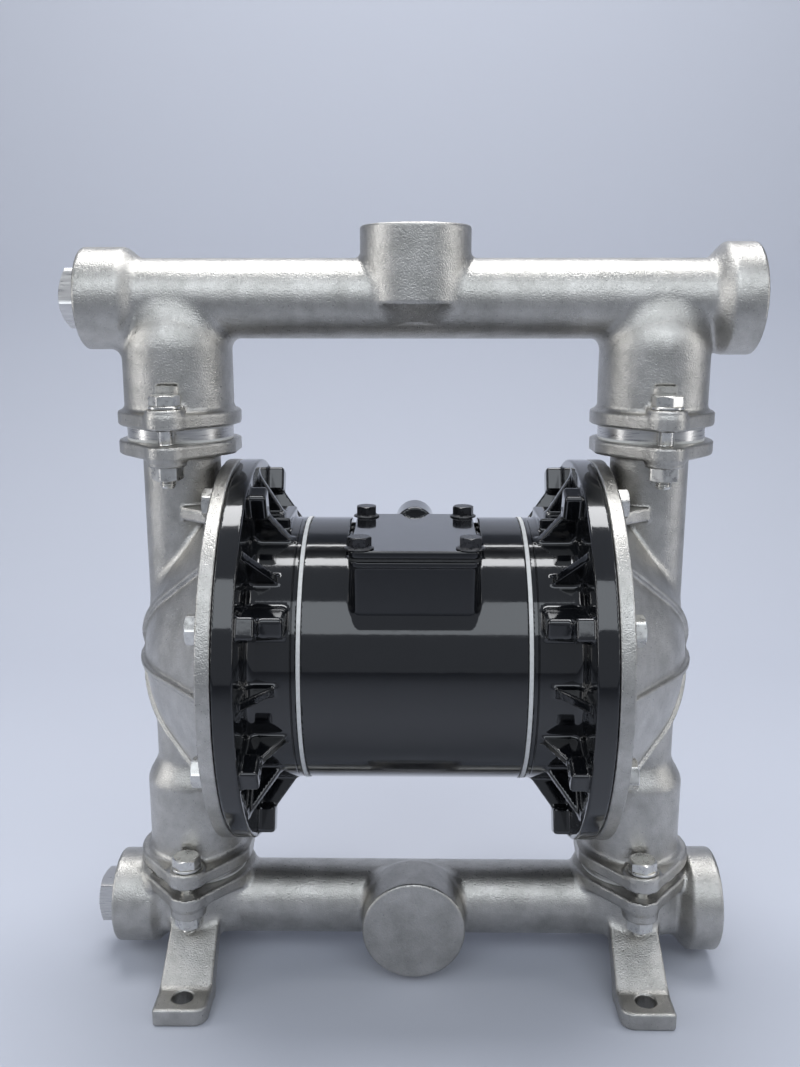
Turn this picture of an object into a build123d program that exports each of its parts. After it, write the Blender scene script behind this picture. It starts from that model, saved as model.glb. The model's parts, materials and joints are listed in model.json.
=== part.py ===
from build123d import *
import os
from math import cos, radians, sin, sqrt, tan

os.makedirs("parts", exist_ok=True)

# Double diaphragm pump. Millimetres, +Z up, X along the diaphragm shaft, -Y is the front with the valve box.
# The origin is on the floor, at the middle of the four foot holes.

# Where the main axes lie
SHAFT_Z = 229.5
OUTLET_Z = 460.0
INLET_Z = 41.0
COLUMN_X = 153.0

# Manifold pipes and their ends
PIPE_R = 25.0
PIPE_BORE_R = 19.0
PORT_END_X = 213.0
PORT_R = 35.0
PORT_HOLE_R = 22.4
PORT_HOLE_DEPTH = 22.0
PORT_LENGTH = 19.0
PLUG_END_X = 210.0
PLUG_BELL_R = 31.8
PLUG_BELL_LENGTH = 26.0
PLUG_HOLE_R = 19.5
PLUG_HOLE_DEPTH = 20.0
PLUG_AF = 28.0
PLUG_HEAD_T = 12.0
PLUG_CHAMFER = 1.2
PLUG_COLLAR_R = 24.0
PLUG_COLLAR_T = 1.0
PLUG_WASHER_T = 1.5
OUTLET_PLUG_TURN = 35.0
INLET_PLUG_TURN = 0.0
BELL_TAPER = 11.0
BOSS_R = 35.0
OUTLET_BOSS_RISE = 44.5
BOSS_ROOT = 14.0
INLET_BOSS_FACE_Y = 45.5
BOSS_CHAMFER = 1.6
BOSS_UNDERCUT = 9.0
CAST_FILLET = 4.0
EDGE_FILLET = 2.0
PLATE_FILLET = 1.5

# Ball risers and the bolted joints of the columns
RISER_R = 35.0
RISER_WALL = 7.0
RISER_DOME_Z = 428.0
JOINT_SIDE_R = 39.5
PLATE_T = 9.0
EAR_Y = 42.0
EAR_R = 12.0
EAR_T = 13.0
INLET_EAR_T = 16.0
CAP_FOOT_EAR_T = 11.0
OUTLET_JOINT_Z = 381.0
CAP_TOP_Z = 371.5
CAP_FOOT_Z = 75.0
INLET_JOINT_Z = 68.0
NECK_R = 34.0
NECK_BASE_Z = 30.0
NECK_TAPER = 9.0

# Feet
FOOT_X = 151.5
FOOT_Y = 76.0
FOOT_HOLE_R = 6.75
FOOT_WIDTH = 35.0
FOOT_END_Y = 90.0
FOOT_T = 12.0
LEG_TOE_Y = 58.6
LEG_TOP_Y = 26.0
LEG_TOP_Z = 38.5
LEG_T = 14.0
FOOT_CORNER_R = 9.0
LEG_OVERLAP = 8.0

# Ball valves
BALL_R = 21.0
BALL_LIFT = 10.0
SEAT_BORE_R = 16.0
SEAT_R = 34.0
SPIGOT_R = 30.0
SPIGOT_T = 4.0
GUIDE_W = 5.0
GUIDE_CLEAR = 1.0
GUIDES = 4
SEAT_SEAL_T = 1.5

# Fluid caps
FLANGE_R = 126.6
FLANGE_T = 9.2
CLAMP_X = 115.3
DOME_NOSE_X = 180.5
DOME_NOSE_R = 105.0
DOME_SLOPE = 50.5
CAP_WALL = 6.0
COLUMN_R = 25.0
COLUMN_BORE_R = 19.0
CAGE_R = 32.5
CAGE_TOP_Z = 134.0
CAGE_TAPER = 18.0
DOME_RIB_H = 3.0
DOME_RIB_T = 4.0
DOME_RIB_ANGLES = (-45, 0, 45, 135, 180, 225)

# Clamp bolts of the diaphragm flanges and the tapped bosses behind them
CLAMP_BOLTS = 8
BOLT_INSET = 11.6
BOSS_WIDTH = 14.0
BOSS_INNER_INSET = 20.6
BOSS_OUTER_INSET = 3.1
BOSS_DEPTH = 11.0
BOSS_END_WALL = 2.5
SPOT_R = 10.5

# Air chambers
RIM_T = 13.0
NECK_OUTER_R = 87.4
CHAMBER_WALL = 8.0
BACK_WALL = 9.0
BEAD_INSET = 20.6
BEAD_W = 9.0
DIAPHRAGM_T = 4.0
WEB_T = 6.0
BOSS_WEB_RUN = 24.0
WEB_RUN = 19.0
WEB_TOP_INSET = 8.6
STRIPE_X = 75.0
STRIPE_W = 1.0
STRIPE_DEPTH = 0.8
DUCT_Y = 52.0
DUCT_RISE = 41.5
DUCT_BOSS_H = 13.0
DUCT_BOSS_Y = 96.0
DUCT_BOSS_RUN = 23.0
DUCT_R = 4.0
TOP_PAD_Y = 22.0
TOP_PAD_H = 5.0

# Centre block
GASKET_T = 2.4
GASKET_LIP = 0.3
BLOCK_HALF = 68.8
BOX_HALF_X = 40.0
BOX_FRONT_Y = 78.5
BOX_BACK_Y = 38.0
BOX_DROP = 9.9
BOX_CORNER_R = 7.0
BOX_LIP_H = 4.0
BOX_LIP = 1.0
BOX_SKIRT_RISE = 10.5
COVER_GASKET_T = 1.5
COVER_T = 5.0
COVER_BOLT_SIDE_INSET = 6.7
COVER_BOLT_FRONT_INSET = 7.5
COVER_BOLT_BACK_INSET = 10.0
AIR_PORT_DROP = 2.5
AIR_PORT_R = 13.5
AIR_PORT_Y = 68.0
AIR_HOLE_R = 9.3
AIR_HOLE_DEPTH = 15.0
EXHAUST_RISE = 8.5
EXHAUST_R = 19.0
EXHAUST_Y = 100.0
EXHAUST_HOLE_R = 12.0
EXHAUST_HOLE_DEPTH = 17.0

# Shaft, plates and air valve
SHAFT_R = 12.5
SHAFT_END_R = 8.0
BUSH_R = 17.0
BUSH_LENGTH = 22.0
SEAL_T = 4.0
STROKE = 12.0
PLATE_R = 60.0
PLATE_HUB_R = 24.0
PLATE_RIM_T = 5.0
PLATE_HUB_T = 8.6
SHAFT_NUT_AF = 24.0
SHAFT_NUT_T = 10.0
ROLL_R = 12.0
PILOT_R = 5.0
PILOT_RISE = 32.5
PILOT_RATIO = 1 / 3
SPOOL_R = 10.0
SPOOL_HALF = 36.0
SPOOL_LAND_SHARE = 0.28
SPOOL_WAIST_SHARE = 0.55
SLEEVE_W = 40.0
SLEEVE_H = 30.0
SLEEVE_HALF = 46.0
SLEEVE_CENTRE_Y = -20.0
SLOT_PITCH = 13.0
SLOT_W = 5.0
SLOT_LENGTH = 12.0
SLOTS_EACH_WAY = 2
END_CAP_T = 4.0
END_CAP_R = 13.0

# Fasteners: M10 on the casings, M8 on the valve cover and inside the air chambers
M10_R = 5.0
M10_AF = 17.0
M10_HEAD = 6.6
M10_NUT = 8.4
M10_WASHER_R = 10.0
M10_WASHER_T = 1.8
M8_R = 4.0
M8_AF = 13.0
M8_HEAD = 7.5
M8_FLANGE_R = 8.9
M8_FLANGE_T = 2.0
CORE_SCREWS = 6
CORE_SCREW_INSET = 21.4
CORE_SCREW_HEAD_R = 6.5
CORE_SCREW_SOCKET_AF = 6.0
CORE_SCREW_LENGTH = 26.0
COVER_BOLT_LENGTH = 22.0
BOLT_TIP = 1.2
BOLT_OVERRUN = 5.0
HEX_TIP_SHARE = 0.95
HEX_CHAMFER = 30.0

# Clearances
WRENCH_CLEAR = 3.0
BOLT_CLEAR = 0.5
RUN_CLEAR = 0.04
FIT_CLEAR = 0.1
SHAFT_CLEAR = 1.0
LIFT_GAP = 0.05
MOVE_GAP = 0.3

FROM_BASE = (Align.CENTER, Align.CENTER, Align.MIN)
RIM_X = CLAMP_X - RIM_T
FLANGE_FACE_X = CLAMP_X + FLANGE_T
CHAMBER_X = BLOCK_HALF + GASKET_T
CHAMBER_FLOOR_X = CHAMBER_X + CHAMBER_WALL
SHAFT_LEVEL = Pos(0, 0, SHAFT_Z)
COVER_BOLT_X = BOX_HALF_X - COVER_BOLT_SIDE_INSET
COVER_BOLT_Y = (COVER_BOLT_FRONT_INSET - BOX_FRONT_Y, BOX_BACK_Y - COVER_BOLT_BACK_INSET)
OUTLET_BOSS_TOP = OUTLET_Z + OUTLET_BOSS_RISE
BOLT_CIRCLE_R = FLANGE_R - BOLT_INSET
BOSS_INNER_R = FLANGE_R - BOSS_INNER_INSET
BOSS_OUTER_R = FLANGE_R - BOSS_OUTER_INSET
BEAD_R = FLANGE_R - BEAD_INSET
WEB_TOP_R = FLANGE_R - WEB_TOP_INSET
CORE_SCREW_CIRCLE_R = NECK_OUTER_R - CORE_SCREW_INSET
BOX_TOP_Z = SHAFT_Z + NECK_OUTER_R - BOX_DROP
BOX_SKIRT_Z = SHAFT_Z + BOX_SKIRT_RISE
DUCT_Z = SHAFT_Z + DUCT_RISE
PILOT_Z = SHAFT_Z + PILOT_RISE
AIR_PORT_Z = BOX_TOP_Z - AIR_PORT_DROP
EXHAUST_Z = SHAFT_Z + EXHAUST_RISE
SPOOL_Z = BOX_TOP_Z - SLEEVE_H / 2


def rod_x(r, x0, x1, y=0.0, z=0.0):
    return Pos(x0, y, z) * Rot(0, 90, 0) * Cylinder(r, x1 - x0, align=FROM_BASE)


def rod_y(r, y0, y1, x=0.0, z=0.0):
    return Pos(x, y0, z) * Rot(-90, 0, 0) * Cylinder(r, y1 - y0, align=FROM_BASE)


def rod_z(r, z0, z1, x=0.0, y=0.0):
    return Pos(x, y, z0) * Cylinder(r, z1 - z0, align=FROM_BASE)


def block(x0, x1, y0, y1, z0, z1):
    return Pos((x0 + x1) / 2, (y0 + y1) / 2, (z0 + z1) / 2) * Box(x1 - x0, y1 - y0, z1 - z0)


def turned_x(points, z=SHAFT_Z):
    """Solid of revolution about the X direction from (x, radius) points."""
    return Pos(0, 0, z) * revolve(make_face(Polyline(*points, close=True)), Axis.X)


def turned_z(points, x=0.0, y=0.0):
    """Solid of revolution about the Z direction from (radius, z) points."""
    return Pos(x, y, 0) * revolve(make_face(Plane.XZ * Polyline(*points, close=True)), Axis.Z)


def mirrored(shape):
    return mirror(shape, about=Plane.YZ)


def at_columns(shape):
    """Copies of a shape made about the Z axis, on both column axes."""
    return [Pos(side * COLUMN_X, 0, 0) * shape for side in (1, -1)]


def both_sides(shape):
    return [shape, mirrored(shape)]


def on_circle(shape, count, first=0.0):
    """Copies of a shape turned about the shaft axis."""
    step = 360 / count
    return [SHAFT_LEVEL * Rot(first + step * k, 0, 0) * shape for k in range(count)]


def save(name, *shapes):
    solids = [s for shape in shapes for s in shape.solids()]
    export_step(solids[0] if len(solids) == 1 else Compound(solids), f"parts/{name}.step")


def rounded(shape, edges, radius):
    return fillet(edges, radius) if len(edges) else shape


def rims(shape, axis, radius):
    """Circular edges of one radius that lie across an axis."""
    def across(e):
        circle = e.geom_type == GeomType.CIRCLE and abs(e.radius - radius) < 0.01
        return circle and abs(abs(e.normal().dot(axis.direction)) - 1) < 0.001
    return shape.edges().filter_by(across)


# ---------- fasteners ----------
def hex_prism(af, height):
    return extrude(RegularPolygon(af / 2, 6, major_radius=False), height)


def hex_head(af, height):
    """Hexagon with the 30 degree chamfer turned on its outer end."""
    tip = af / 2 * HEX_TIP_SHARE
    drop = (af - tip) * tan(radians(HEX_CHAMFER))
    cone = turned_z([(0, -1), (af, -1), (af, height - drop), (tip, height), (0, height)])
    return hex_prism(af, height) & cone


def hex_bolt(length, r=M10_R, af=M10_AF, head=M10_HEAD):
    """Head above z = 0, shank below."""
    shank = turned_z([(0, 0.5), (r, 0.5), (r, -length + BOLT_TIP), (r - BOLT_TIP, -length), (0, -length)])
    return shank + hex_head(af, head)


def hex_nut(r=M10_R, af=M10_AF, height=M10_NUT):
    """Nut standing on z = 0."""
    return hex_head(af, height) - rod_z(r + FIT_CLEAR, -1, height + 1)


def washer(r=M10_R, outer=M10_WASHER_R, t=M10_WASHER_T):
    return rod_z(outer, 0, t) - rod_z(r + BOLT_CLEAR / 2, -1, t + 1)


def flange_bolt(length):
    return hex_bolt(length, M8_R, M8_AF, M8_HEAD) + rod_z(M8_FLANGE_R, 0, M8_FLANGE_T)


def soft_face(shape, which):
    """Rounds the rim of the lowest (0) or highest (-1) face, as the mould leaves it."""
    return fillet(shape.faces().sort_by(Axis.Z)[which].edges(), PLATE_FILLET)


def seams(body, half_width):
    """Curved edges near the middle of a pipe, where another casting runs into it."""
    return [e for e in body.edges() if e.geom_type == GeomType.BSPLINE and abs(e.center().X) < half_width]


# ---------- column joints, made about the Z axis ----------
EAR_PLACES = [(0, -EAR_Y), (0, EAR_Y)]


def joint_plate(z0, z1, ear_z0, ear_z1):
    """Oval plate with two bolt ears round a column; the ears are thicker than the plate."""
    ring = Circle(JOINT_SIDE_R).edges()
    for x, y in EAR_PLACES:
        ring += (Pos(x, y) * Circle(EAR_R)).edges()
    outer = -1 if ear_z1 > z1 else 0
    plate = soft_face(extrude(Pos(0, 0, z0) * make_hull(ring), z1 - z0), outer)
    return plate + [soft_face(rod_z(EAR_R, ear_z0, ear_z1, x, y), outer) for x, y in EAR_PLACES]


def ear_holes(z0, z1):
    return [rod_z(M10_R + BOLT_CLEAR, z0, z1, x, y) for x, y in EAR_PLACES]


def spot_faces(z0, z1):
    """Room for a bolt head or nut beside the column."""
    return [rod_z(SPOT_R, z0, z1, x, y) for x, y in EAR_PLACES]


def ball_centre(seat_z):
    return seat_z + sqrt(BALL_R**2 - SEAT_BORE_R**2) + LIFT_GAP


def ball_guides(seat_z, chamber_r):
    """Ribs that centre a ball over its seat, each with a step that stops its lift."""
    stop_z = ball_centre(seat_z) + BALL_R + BALL_LIFT + MOVE_GAP
    rail_r = BALL_R + GUIDE_CLEAR
    rail = block(rail_r, chamber_r + 1, -GUIDE_W / 2, GUIDE_W / 2, seat_z, stop_z + GUIDE_W)
    stop = block(SEAT_BORE_R / 2, chamber_r + 1, -GUIDE_W / 2, GUIDE_W / 2, stop_z, stop_z + GUIDE_W)
    return [Rot(0, 0, 45 + 360 / GUIDES * k) * (rail + stop) for k in range(GUIDES)]


# ---------- manifolds ----------
def manifold_pipe(z):
    """Cast pipe with a threaded port at +X and a plugged bell at -X."""
    bell_x = PLUG_END_X - PLUG_BELL_LENGTH
    port_x = PORT_END_X - PORT_LENGTH
    return turned_x([
        (-PLUG_END_X, 0), (-PLUG_END_X, PLUG_BELL_R), (-bell_x, PLUG_BELL_R), (-bell_x + BELL_TAPER, PIPE_R),
        (port_x - BELL_TAPER, PIPE_R), (port_x, PORT_R), (PORT_END_X, PORT_R), (PORT_END_X, 0)], z)


def pipe_bore(z):
    ends = rod_x(PORT_HOLE_R, PORT_END_X - PORT_HOLE_DEPTH, PORT_END_X + 1, z=z)
    ends += rod_x(PLUG_HOLE_R, -PLUG_END_X - 1, -PLUG_END_X + PLUG_HOLE_DEPTH, z=z)
    return ends + rod_x(PIPE_BORE_R, -PLUG_END_X + 1, PORT_END_X - 1, z=z)


def soften_pipe(body):
    body = rounded(body, rims(body, Axis.X, PORT_R), EDGE_FILLET)
    return rounded(body, rims(body, Axis.X, PLUG_BELL_R), EDGE_FILLET)


def domed_rod(r):
    """Riser or its chamber: a cylinder with a round top."""
    return rod_z(r, OUTLET_JOINT_Z, RISER_DOME_Z) + Pos(0, 0, RISER_DOME_Z) * Sphere(r)


def outlet_manifold():
    body = soften_pipe(manifold_pipe(OUTLET_Z))
    body += at_columns(domed_rod(RISER_R))
    body = fillet(seams(body, COLUMN_X), CAST_FILLET)
    root = OUTLET_Z - BOSS_ROOT
    body += turned_z([
        (0, root), (PIPE_R - 1, root), (BOSS_R, root + BOSS_UNDERCUT), (BOSS_R, OUTLET_BOSS_TOP - BOSS_CHAMFER),
        (BOSS_R - BOSS_CHAMFER, OUTLET_BOSS_TOP), (0, OUTLET_BOSS_TOP)])
    body = fillet(seams(body, BOSS_R + 1), CAST_FILLET)
    ear_top = OUTLET_JOINT_Z + EAR_T
    plate = joint_plate(OUTLET_JOINT_Z, OUTLET_JOINT_Z + PLATE_T, OUTLET_JOINT_Z, ear_top)
    body += at_columns(plate)
    body -= pipe_bore(OUTLET_Z)
    chamber_r = RISER_R - RISER_WALL
    chamber = domed_rod(chamber_r) - ball_guides(OUTLET_JOINT_Z + SPIGOT_T, chamber_r)
    cuts = [chamber, rod_z(SPIGOT_R + FIT_CLEAR, OUTLET_JOINT_Z - 1, OUTLET_JOINT_Z + SPIGOT_T)]
    cuts += ear_holes(OUTLET_JOINT_Z - 1, ear_top + 1)
    cuts += spot_faces(ear_top, ear_top + M10_WASHER_T + M10_HEAD + WRENCH_CLEAR)
    for cut in cuts:
        body -= at_columns(cut)
    return body


def foot(side):
    """One splayed leg with its bolted pad; side is -1 for the front."""
    run = sqrt((LEG_TOE_Y - LEG_TOP_Y)**2 + (LEG_TOP_Z - FOOT_T)**2)
    out_y = LEG_T * (LEG_TOP_Z - FOOT_T) / run
    down_z = LEG_T * (LEG_TOE_Y - LEG_TOP_Y) / run
    slope = (LEG_TOE_Y - LEG_TOP_Y) / (LEG_TOP_Z - FOOT_T)
    heel_y = LEG_TOE_Y - out_y + slope * (FOOT_T - down_z)
    outline = [
        (side * (LEG_TOP_Y - LEG_OVERLAP), LEG_TOP_Z),
        (side * LEG_TOP_Y, LEG_TOP_Z), (side * LEG_TOE_Y, FOOT_T),
        (side * FOOT_END_Y, FOOT_T), (side * FOOT_END_Y, 0), (side * heel_y, 0),
        (side * (LEG_TOP_Y - out_y - LEG_OVERLAP), LEG_TOP_Z - down_z + LEG_OVERLAP / slope)]
    leg = extrude(Plane.YZ * make_face(Polyline(*outline, close=True)), FOOT_WIDTH)
    leg = Pos(FOOT_X - FOOT_WIDTH / 2, 0, 0) * leg
    inner_corner = leg.edges().filter_by(Axis.Z).group_by(Axis.X)[0]
    leg = fillet(inner_corner.sort_by(Axis.Y)[0 if side < 0 else -1], FOOT_CORNER_R)
    pad_rim = [e for e in leg.edges() if e.center().Z > FOOT_T - 0.01 and abs(e.center().Y) > LEG_TOE_Y + 1]
    leg = fillet(pad_rim, EDGE_FILLET)
    return leg - rod_z(FOOT_HOLE_R, -1, FOOT_T + 1, FOOT_X, side * FOOT_Y)


def inlet_manifold():
    face = INLET_BOSS_FACE_Y
    boss = turned_z([
        (0, 0), (PIPE_R - 1, 0), (BOSS_R, BOSS_UNDERCUT), (BOSS_R, face - BOSS_CHAMFER),
        (BOSS_R - BOSS_CHAMFER, face), (0, face)])
    body = soften_pipe(manifold_pipe(INLET_Z)) + Pos(0, 0, INLET_Z) * Rot(90, 0, 0) * boss
    body = fillet(seams(body, BOSS_R + 1), CAST_FILLET)
    neck = turned_z([
        (0, NECK_BASE_Z), (PIPE_R, NECK_BASE_Z), (NECK_R, NECK_BASE_Z + NECK_TAPER), (NECK_R, INLET_JOINT_Z),
        (0, INLET_JOINT_Z)])
    body += at_columns(neck)
    plate = joint_plate(INLET_JOINT_Z - PLATE_T, INLET_JOINT_Z, INLET_JOINT_Z - INLET_EAR_T, INLET_JOINT_Z)
    body += at_columns(plate)
    for side in (-1, 1):
        body += both_sides(foot(side))
    body -= pipe_bore(INLET_Z)
    cuts = [rod_z(SEAT_BORE_R, INLET_Z, INLET_JOINT_Z + 1)]
    cuts += [rod_z(SEAT_R + BOLT_CLEAR, INLET_JOINT_Z, INLET_Z + PORT_R + 1)]
    cuts += [rod_z(SPIGOT_R + FIT_CLEAR, INLET_JOINT_Z - SPIGOT_T, INLET_JOINT_Z + 1)]
    cuts += ear_holes(INLET_JOINT_Z - INLET_EAR_T - 1, INLET_JOINT_Z + 1)
    cuts += spot_faces(INLET_JOINT_Z - INLET_EAR_T - M10_NUT - WRENCH_CLEAR, INLET_JOINT_Z - INLET_EAR_T)
    for cut in cuts:
        body -= at_columns(cut)
    return body


def square_plug(z, turn):
    """Blanking plug: square head outside, shank in the bell."""
    head_x = PLUG_END_X + PLUG_WASHER_T
    half = PLUG_AF / 2
    head = Rot(turn, 0, 0) * block(-head_x - PLUG_HEAD_T, -head_x, -half, half, -half, half)
    head = chamfer(head.faces().sort_by(Axis.X)[0].edges(), PLUG_CHAMFER)
    collar = rod_x(PLUG_COLLAR_R, -head_x - PLUG_COLLAR_T, -head_x)
    shank = rod_x(PLUG_HOLE_R - FIT_CLEAR, -head_x, -PLUG_END_X + PLUG_HOLE_DEPTH - 3)
    return Pos(0, 0, z) * (head + collar + shank)


def plug_washer(z):
    ring = rod_x(PLUG_COLLAR_R, -PLUG_END_X - PLUG_WASHER_T, -PLUG_END_X, z=z)
    return ring - rod_x(PLUG_HOLE_R, -PLUG_END_X - PLUG_WASHER_T - 1, -PLUG_END_X + 1, z=z)


# ---------- ball valves, made about the Z axis ----------
def valve_seat(low_z, high_z):
    """Seat ring clamped in a column joint, with a spigot into each side."""
    top = high_z + SPIGOT_T
    bottom = low_z - SPIGOT_T
    low_z += SEAT_SEAL_T
    high_z -= SEAT_SEAL_T
    return turned_z([
        (SEAT_BORE_R, bottom), (SPIGOT_R, bottom), (SPIGOT_R, low_z), (SEAT_R, low_z),
        (SEAT_R, high_z), (SPIGOT_R, high_z), (SPIGOT_R, top), (SEAT_BORE_R, top)])


def seat_seals(low_z, high_z):
    """Flat rings above and below the flange of a seat."""
    return [rod_z(SEAT_R, z, z + SEAT_SEAL_T) - rod_z(SPIGOT_R + FIT_CLEAR, z - 1, z + SEAT_SEAL_T + 1)
            for z in (low_z, high_z - SEAT_SEAL_T)]


def valve_ball(seat_z):
    return Pos(0, 0, ball_centre(seat_z)) * Sphere(BALL_R)


# ---------- fluid caps ----------
def dome_face(offset, back_x):
    """Half section of the bowl, moved outward by an offset: a cone flank and a spherical nose."""
    nose_r = DOME_NOSE_R + offset
    centre_x = DOME_NOSE_X - DOME_NOSE_R
    turn = radians(90 - DOME_SLOPE)
    join = (centre_x + nose_r * cos(turn), nose_r * sin(turn))
    middle = (centre_x + nose_r * cos(turn / 2), nose_r * sin(turn / 2))
    tip = (centre_x + nose_r, 0)
    back = (back_x, join[1] + (join[0] - back_x) * tan(radians(DOME_SLOPE)))
    return make_face([Line(back, join), ThreePointArc(join, middle, tip), Polyline(tip, (back_x, 0), back)])


def dome_solid(offset, back_x):
    return SHAFT_LEVEL * revolve(dome_face(offset, back_x), Axis.X)


def dome_rib(angle):
    plate = extrude(dome_face(DOME_RIB_H, FLANGE_FACE_X - 2), DOME_RIB_T / 2, both=True)
    return SHAFT_LEVEL * Rot(angle, 0, 0) * plate


def clamp_hole():
    return rod_x(M10_R + BOLT_CLEAR, CLAMP_X - 1, FLANGE_FACE_X + 1, y=BOLT_CIRCLE_R)


def clamp_spot():
    """Flat for a bolt head, sunk into the flank of the bowl."""
    return rod_x(SPOT_R, FLANGE_FACE_X, FLANGE_FACE_X + M10_HEAD + WRENCH_CLEAR, y=BOLT_CIRCLE_R)


def fluid_cap():
    """The +X cap: flange, domed bowl, vertical column, inlet ball cage and two column joints."""
    flange = rod_x(FLANGE_R, CLAMP_X, FLANGE_FACE_X, z=SHAFT_Z)
    flange = fillet(rims(flange, Axis.X, FLANGE_R).sort_by(Axis.X)[-1], EDGE_FILLET)
    body = flange + dome_solid(0, FLANGE_FACE_X - 2)
    body += [dome_rib(angle) for angle in DOME_RIB_ANGLES]
    column = rod_z(COLUMN_R, CAP_FOOT_Z, CAP_TOP_Z)
    cage = turned_z([
        (0, CAP_FOOT_Z), (CAGE_R, CAP_FOOT_Z), (CAGE_R, CAGE_TOP_Z), (COLUMN_R, CAGE_TOP_Z + CAGE_TAPER),
        (0, CAGE_TOP_Z + CAGE_TAPER)])
    foot_ear_top = CAP_FOOT_Z + CAP_FOOT_EAR_T
    column += cage
    column += joint_plate(CAP_TOP_Z - PLATE_T, CAP_TOP_Z, CAP_TOP_Z - EAR_T, CAP_TOP_Z)
    column += joint_plate(CAP_FOOT_Z, CAP_FOOT_Z + PLATE_T, CAP_FOOT_Z, foot_ear_top)
    body += Pos(COLUMN_X, 0, 0) * column
    body -= dome_solid(-CAP_WALL, CLAMP_X - 1) & rod_x(BEAD_R - BEAD_W, CLAMP_X - 1, DOME_NOSE_X, z=SHAFT_Z)
    chamber_r = CAGE_R - CAP_WALL
    chamber = rod_z(chamber_r, CAP_FOOT_Z - 1, CAGE_TOP_Z) - ball_guides(CAP_FOOT_Z + SPIGOT_T, chamber_r)
    cuts = [chamber, rod_z(COLUMN_BORE_R, CAGE_TOP_Z - 1, CAP_TOP_Z + 1)]
    for z0, z1 in ((CAP_TOP_Z - SPIGOT_T, CAP_TOP_Z + 1), (CAP_FOOT_Z - 1, CAP_FOOT_Z + SPIGOT_T)):
        cuts.append(rod_z(SPIGOT_R + FIT_CLEAR, z0, z1))
    cuts += ear_holes(CAP_TOP_Z - EAR_T - 1, CAP_TOP_Z + 1) + ear_holes(CAP_FOOT_Z - 1, foot_ear_top + 1)
    cuts += spot_faces(foot_ear_top, foot_ear_top + M10_HEAD + M10_WASHER_T + WRENCH_CLEAR)
    for cut in cuts:
        body -= Pos(COLUMN_X, 0, 0) * cut
    body -= on_circle(clamp_spot(), CLAMP_BOLTS, 180 / CLAMP_BOLTS)
    return body - on_circle(clamp_hole(), CLAMP_BOLTS, 180 / CLAMP_BOLTS)


# ---------- air side ----------
def bolt_boss():
    """Box behind the rim that a clamp bolt screws into, with the web that carries it."""
    end_x = RIM_X - BOSS_DEPTH
    box = block(end_x, RIM_X + 1, BOSS_INNER_R, BOSS_OUTER_R, -BOSS_WIDTH / 2, BOSS_WIDTH / 2)
    box = fillet(box.faces().sort_by(Axis.X)[0].edges(), EDGE_FILLET)
    web = web_plate([
        (RIM_X - BOSS_WEB_RUN, NECK_OUTER_R - 1), (RIM_X + 1, NECK_OUTER_R - 1), (RIM_X + 1, BOSS_INNER_R + 2),
        (end_x + EDGE_FILLET, BOSS_INNER_R + 2), (end_x + EDGE_FILLET, BOSS_INNER_R)])
    return box + web


def web_plate(outline):
    return extrude(make_face(Polyline(*outline, close=True)), WEB_T / 2, both=True)


def plain_web():
    return web_plate([
        (RIM_X - WEB_RUN, NECK_OUTER_R - 1), (RIM_X + 1, NECK_OUTER_R - 1), (RIM_X + 1, WEB_TOP_R),
        (RIM_X, WEB_TOP_R)])


def duct_boss():
    """Box lug on the front of the neck that carries the air duct out to the rim."""
    x0 = RIM_X - DUCT_BOSS_RUN
    half = DUCT_BOSS_H / 2
    lug = block(x0, RIM_X + 1, -DUCT_BOSS_Y, -DUCT_BOSS_Y / 2, DUCT_Z - half, DUCT_Z + half)
    return fillet(lug.edges().filter_by(Axis.Z).group_by(Axis.X)[0].sort_by(Axis.Y)[0], DUCT_R)


def tapped_hole():
    return rod_x(M10_R + FIT_CLEAR, RIM_X - BOSS_DEPTH + BOSS_END_WALL, CLAMP_X + 1, y=BOLT_CIRCLE_R)


def core_openings(x0, x1):
    """Holes for the shaft, the pilot rod, the air duct and the screws, in the chamber floor or its gasket."""
    screw = rod_x(M8_R + BOLT_CLEAR, x0, x1, y=CORE_SCREW_CIRCLE_R)
    holes = [rod_x(SHAFT_R + SHAFT_CLEAR, x0, x1, z=SHAFT_Z), rod_x(PILOT_R + SHAFT_CLEAR, x0, x1, z=PILOT_Z)]
    return holes + [rod_x(DUCT_R, x0, x1, y=-DUCT_Y, z=DUCT_Z)] + on_circle(screw, CORE_SCREWS)


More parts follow.
